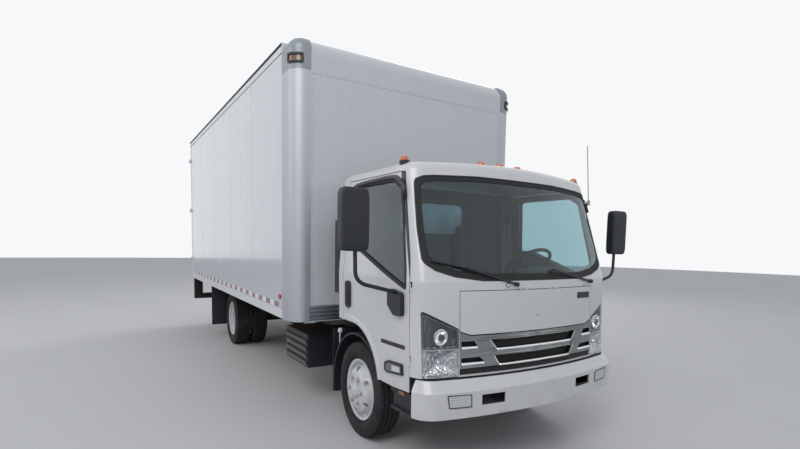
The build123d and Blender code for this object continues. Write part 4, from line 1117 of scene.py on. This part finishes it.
# Painted shade: a thin black cone behind the front disc makes its hand holes look dark.
SHADE = [
    (0.04, 0.215), (0.074, 0.19), (0.09, 0.174), (0.087, 0.171), (0.071, 0.187),
    (0.037, 0.211), (0.04, 0.215),
]
pair("wheel_shade", lathe(SHADE, FRONT_HUB, 72), FRONT_WHEEL, mesh_black, "black_plastic")
HUB_CAP = [
    (0.1492, TIP), (0.1492, 0.049), (0.1525, 0.047), (0.157, 0.04), (0.159, 0.025),
    (0.1595, TIP),
]
pair("hub_cap", lathe(HUB_CAP, FRONT_HUB, 40), FRONT_WHEEL, *RIM)
stem = smooth_path([(0.06, 0.0, 0.232), (0.085, 0.0, 0.222), (0.115, 0.0, 0.205)], 6)
pair("front_valve", tube(stem + FRONT_HUB, 0.0042, 10), FRONT_WHEEL, *STEEL)
LIP = [
    (0.0885, 0.25), (0.09, 0.252), (0.0905, 0.259), (0.0885, 0.2612), (0.086, 0.261),
    (0.086, 0.25),
]
pair("rim_lip_front", lathe(LIP, FRONT_HUB, 72), FRONT_WHEEL, *RIM)
rear_lip = lathe(LIP, np.add(REAR_HUB, (DUAL_OFFSET, 0, 0)), 72)
pair("rim_lip_rear", rear_lip, REAR_WHEEL, *RIM)
turn = np.radians(np.linspace(-16, 128, 60))
LINER = [
    (0.484, 0.69), (0.49, 0.69), (0.49, 0.959), (0.474, 0.959), (0.474, 0.953),
    (0.484, 0.953),
]
liner = strip(
    np.array([0, WHEEL_Z]), np.stack([np.cos(turn), np.sin(turn)], -1), LINER, side_plane(0.0)
)
pair("wheel_liner", liner, "chassis", *BLACK, auto=35)

# Box: rivets, seams, roof seal, the band at the foot of the front wall
BOX_ENDS = (0.97, 6.82)
rows = [(BOX_HALF, 1.0 + 4 * INCH * k, z) for z in (3.402, 3.468, 0.976) for k in range(57)]
pair("rail_rivets", domes(rows, SIDE, 0.005, 0.0018), "chassis", rail_paint, "wall_white")
rows = [(BOX_HALF, 0.944, 0.96 + 3 * INCH * k) for k in range(29)]
pair("post_rivets", domes(rows, SIDE, 0.005, 0.002), "chassis", post_metal, "polished_post")
seams = [
    slab(rect(y - 0.012, y + 0.012, 0.99, 3.39, 0.001, 2, 6), WALL_SKIN, 0.0, 0.0009, 2)
    for y in 0.964 + 1.1572 * np.arange(1, 5)
]
pair("panel_seams", joined(seams), "chassis", panel_gloss, "box_white", smooth=False)
pair("roof_seal", tube(along_y(1.2915, *BOX_ENDS, 3.47, 40), 0.0135, 8), "chassis", *SEAL)
joint = along_y(BOX_HALF - 0.0015, *BOX_ENDS, 3.3945, 40)
pair("rail_joint", tube(joint, 0.0022, 8), "chassis", *SEAL)
FOOT_SKIN = back_plane(BOX_FRONT - 0.0032, -1)
# Painted shade: the sill between the ridges is a darker copy of their metal.
sill = slab(rect(-1.13, 1.13, 0.914, 1.056, 0.001, 2, 20), FOOT_SKIN, 0.0, 0.0012, 2)
shown("front_sill", sill, "chassis", sill_metal_painted_shade, "wall_white", smooth=False)
ridges = [
    slab(rect(-1.128, 1.128, z, z + 0.014, 0.001, 2, 20), FOOT_SKIN, 0.0012, 0.011, 2)
    for z in (0.928, 0.966, 1.004, 1.04)
]
shown("front_sill_ridges", joined(ridges), "chassis", ridge_metal, "wall_white", smooth=False)

# Rear doors: gaskets, hinge straps, lock levers
gasket = band(
    rect(0.009, 1.226, 1.024, 3.335, 0.012, 4, 12), rect(0.035, 1.2, 1.05, 3.309, 0.01, 4, 12),
    back_plane(BOX_REAR), 0.0, 0.003,
)
pair("door_gasket", gasket, REAR_DOOR, *SEAL)
STRAPS = (1.25, 2.18, 3.11)
STRAP_SKIN = back_plane(BOX_REAR + 0.0082)
straps = [
    slab(rect(0.83, 1.22, z - 0.02, z + 0.02, 0.012, 4, 6), STRAP_SKIN, 0.0, 0.0016, 3)
    for z in STRAPS
]
pair("hinge_straps", joined(straps), REAR_DOOR, *STEEL, auto=40)
bolts = [(x, BOX_REAR + 0.0098, z) for z in STRAPS for x in (0.86, 0.92, 0.98, 1.1, 1.16)]
pair("strap_bolts", domes(bolts, REAR, 0.0075, 0.004, 12), REAR_DOOR, *STEEL)
lever = smooth_path([(0.42, 6.855, 1.3), (0.3, 6.857, 1.296), (0.16, 6.853, 1.29)], 8)
pair("lock_lever", tube(lever, 0.0085, 12), REAR_DOOR, *STEEL)
keeper = pillow((0.18, 6.845, 1.29), (0.055, 0.03, 0.09), 0.35, (16, 28))
pair("lever_keeper", keeper, REAR_DOOR, *STEEL)

# Lamps of the cab's roof and of the box's corner caps
FEET = [(-0.012, TIP), (-0.012, 0.039), (0.01, 0.038), (0.014, 0.034), (0.014, TIP)]
LENSES = [
    (0.0142, TIP), (0.0142, 0.0325), (0.03, 0.032), (0.04, 0.027), (0.0455, 0.016),
    (0.047, TIP),
]


def roof_lamps(profile):
    """Turned forms that stand square on the roof's arc, which falls by 45 mm to each side."""
    made, half = [], CAB_LEVELS[1][1]
    for x in (-0.896, -0.193, 0.0, 0.193, 0.896):
        tilt = math.atan(2 * ROOF_FALL * x / half ** 2)
        c, s = math.cos(tilt), math.sin(tilt)
        vertices, faces = lathe(profile, (0, 0, 0), 32)
        up, across, ahead = vertices.T
        top = ROOF_TOP - ROOF_FALL * (x / half) ** 2
        points = [across * c + up * s + x, ahead - 0.65, up * c - across * s + top]
        made.append((np.stack(points, -1), faces))
    return joined(made)


shown("roof_lamp_feet", roof_lamps(FEET), "cab", *BLACK, auto=40, replaces=["roof_lamps"])
shown("roof_lamp_lenses", roof_lamps(LENSES), "cab", amber_lens, "amber_lens", auto=50)
patch = slab(rect(0.05, 0.154, 3.378, 3.476, 0.012, 5, 12), cap_skin, TIP, 0.001, 8)
pair("cap_patch", patch, "chassis", cap_metal, "cast_grey", auto=40)
cap_frame = band(
    rect(0.026, 0.178, 3.242, 3.326, 0.01, 5, 12), rect(0.038, 0.166, 3.256, 3.306, 0.008, 5, 12),
    cap_skin, LIFT, 0.015,
)
pair("cap_lamp_frame", cap_frame, "chassis", *BLACK, auto=40)
# Painted shade: the lens is amber darkened for the shade under the cap's hood.
cap_lens = slab(
    rect(0.0385, 0.1655, 3.2565, 3.3055, 0.008, 5, 12), cap_skin, LIFT, 0.006, 5
)
pair("cap_lamp_lens", cap_lens, "chassis", amber_painted_shade, "amber_lens", auto=50)

# Cab inside: dash top, dial hood, vents; behind the cab: duct louvres
dash_top = pillow((0.0, -0.8, 1.402), (1.73, 0.25, 0.052), 0.25, (24, 90))
shown("dash_top", dash_top, "cab", *DASH)
hood = pillow((0.45, -0.7, 1.432), (0.4, 0.19, 0.085), 0.45, (28, 60), 0.15)
shown("dial_hood", hood, "cab", *DASH)
vents = [
    pillow((x, -0.658, 1.318), (0.12, 0.03, 0.06), 0.3, (14, 28))
    for x in (-0.78, -0.3, 0.16, 0.8)
]
shown("dash_vents", joined(vents), "cab", *BLACK)
louvres = [
    pillow((-0.88, 0.361, z), (0.13, 0.008, 0.02), 0.4, (10, 20))
    for z in 1.265 + 0.052 * np.arange(11)
]
shown("duct_louvres", joined(louvres), "cab", *BLACK)

# Chassis: tilt lever, frame bolts, battery box
KNOB = (-0.932, 0.4, 0.85)
rod = tube(smooth_path([KNOB, (-0.93, 0.412, 0.78), (-0.915, 0.447, 0.702)], 8), 0.0075, 10)
knob = pillow(KNOB, (0.046, 0.046, 0.052), 1.0, (16, 24))
shown("tilt_lever", joined([rod, knob]), "chassis", *RIM)
heads = [
    (0.4255, 0.95 + 0.46 * k + dy, z) for k in range(12) for z in (0.66, 0.76) for dy in (0.0, 0.05)
]
bolts = domes(heads, SIDE, 0.01, 0.007, 6)
pair("frame_bolts", bolts, "chassis", dark_casting, "dark_steel", smooth=False)
RIB_LEVELS = (0.43, 0.5, 0.57, 0.64)
ribs = [
    flipped(slab(rect(0.945, 1.595, z, z + 0.034, 0.004, 3, 8), side_plane(1.038), 0.0, 0.0238, 3))
    for z in RIB_LEVELS
]
shown("battery_ribs", joined(ribs), "chassis", frame_paint, "frame_black", auto=38)
lines = [
    tube(along_y(-1.0618, 0.953, 1.587, z + dz, 24), 0.0026, 6)
    for z in RIB_LEVELS for dz in (-0.004, 0.013)
]
shown("battery_tread", joined(lines), "chassis", tread_pale, "bare_steel")


# Floor, light and camera
def floor_sheet():
    """A flat disc, far wider than the truck."""
    turn = circle(96)
    ring = np.stack([40 * np.cos(turn), 40 * np.sin(turn), np.full(96, -0.0005)], -1)
    mesh = bpy.data.meshes.new("floor")
    mesh.from_pydata(ring.tolist(), [], [list(range(96))])
    made = placed("floor", mesh)
    f = Finish("floor_pale", (0.62, 0.62, 0.63), 0.85)
    f.set(Base_Color=f.mix(f.noise(0.6, 3.0), (0.6, 0.6, 0.61), (0.65, 0.65, 0.66)))
    mesh.materials.append(f.material)


def sky():
    """Sky that lights the truck, darker near the horizon, behind an even pale one.

    The camera, gloss and glass see the even one.
    """
    world = bpy.data.worlds.new("sky")
    bpy.context.scene.world = world
    world.use_nodes = True
    world.node_tree.nodes.clear()
    t = Tree(world.node_tree)
    place = t.node("ShaderNodeTexCoord", {}, (), "Generated")
    z = t.node("ShaderNodeSeparateXYZ", {}, [place], "Z")
    shade = t.node("ShaderNodeValToRGB", {}, [z.math("MULTIPLY_ADD", z, 0.5, 0.5)])
    stops = shade.socket.node.color_ramp.elements
    stops.new(0.52)
    for stop, position, colour in zip(
        stops, (0.46, 0.52, 0.62), ((0.16, 0.17, 0.18), (0.42, 0.44, 0.47), (0.8, 0.83, 0.88))
    ):
        stop.position = position
        stop.color = (*colour, 1)
    light = t.node("ShaderNodeBackground", {}, [shade, 0.62])
    seen = t.node("ShaderNodeBackground", {}, [(0.93, 0.94, 0.95, 1), 1.0])
    rays = t.node("ShaderNodeLightPath", {}).socket.node.outputs
    seen_by = Value(t, rays["Is Camera Ray"])
    for ray in ("Is Glossy Ray", "Is Transmission Ray"):
        added = {"operation": "ADD", "use_clamp": True}
        seen_by = t.node("ShaderNodeMath", added, [seen_by, Value(t, rays[ray])])
    mixed = t.node("ShaderNodeMixShader", {}, [seen_by, light, seen])
    t.plug(t.tree.nodes.new("ShaderNodeOutputWorld").inputs["Surface"], mixed)


def aimed(made, right, up, back, place):
    """Stand an object at a place, with its own axes along three directions."""
    rows = [[right[k], up[k], back[k], place[k]] for k in range(3)]
    made.matrix_world = Matrix(rows + [[0, 0, 0, 1]])


def soft_lamp(name, place, target, size, watts):
    """A round area lamp that looks at a point."""
    data = bpy.data.lights.new(name, "AREA")
    data.shape = "DISK"
    data.size = size
    data.energy = watts
    back = np.subtract(place, target)
    back = back / np.linalg.norm(back)
    side = np.cross(UP, back)
    side /= np.linalg.norm(side)
    aimed(placed(name, data), side, np.cross(back, side), back, place)


def photo_camera():
    """The camera that took the picture: place, heading, tilt, roll, lens and frame shift."""
    yaw, pitch, roll = (math.radians(a) for a in (33.87, -4.61, 1.34))
    ahead = np.array([
        math.sin(yaw) * math.cos(pitch), math.cos(yaw) * math.cos(pitch), math.sin(pitch)
    ])
    right = np.array([math.cos(yaw), -math.sin(yaw), 0.0])
    up = np.cross(right, ahead)
    c, s = math.cos(roll), math.sin(roll)
    data = bpy.data.cameras.new("photo_camera")
    data.sensor_width = 36.0
    data.sensor_fit = "HORIZONTAL"
    data.lens = 22.105
    data.shift_x = -0.0432
    data.shift_y = 0.074
    data.clip_end = 200
    made = placed("photo_camera", data)
    place = (-2.7003, -3.7611 + AXLE_Y, 1.6574)
    aimed(made, right * c + up * s, up * c - right * s, -ahead, place)
    bpy.context.scene.camera = made


floor_sheet()
sky()
soft_lamp("key_lamp", (-7.0, -8.5, 8.5), (0, 0, 1.4), 6.0, 370)
soft_lamp("side_lamp", (-10.0, 2.5, 6.0), (0, 1.0, 1.6), 7.0, 130)
soft_lamp("back_lamp", (7.0, 8.0, 7.5), (0, 0, 1.6), 6.0, 300)
photo_camera()

bpy.context.scene.view_settings.view_transform = "Standard"
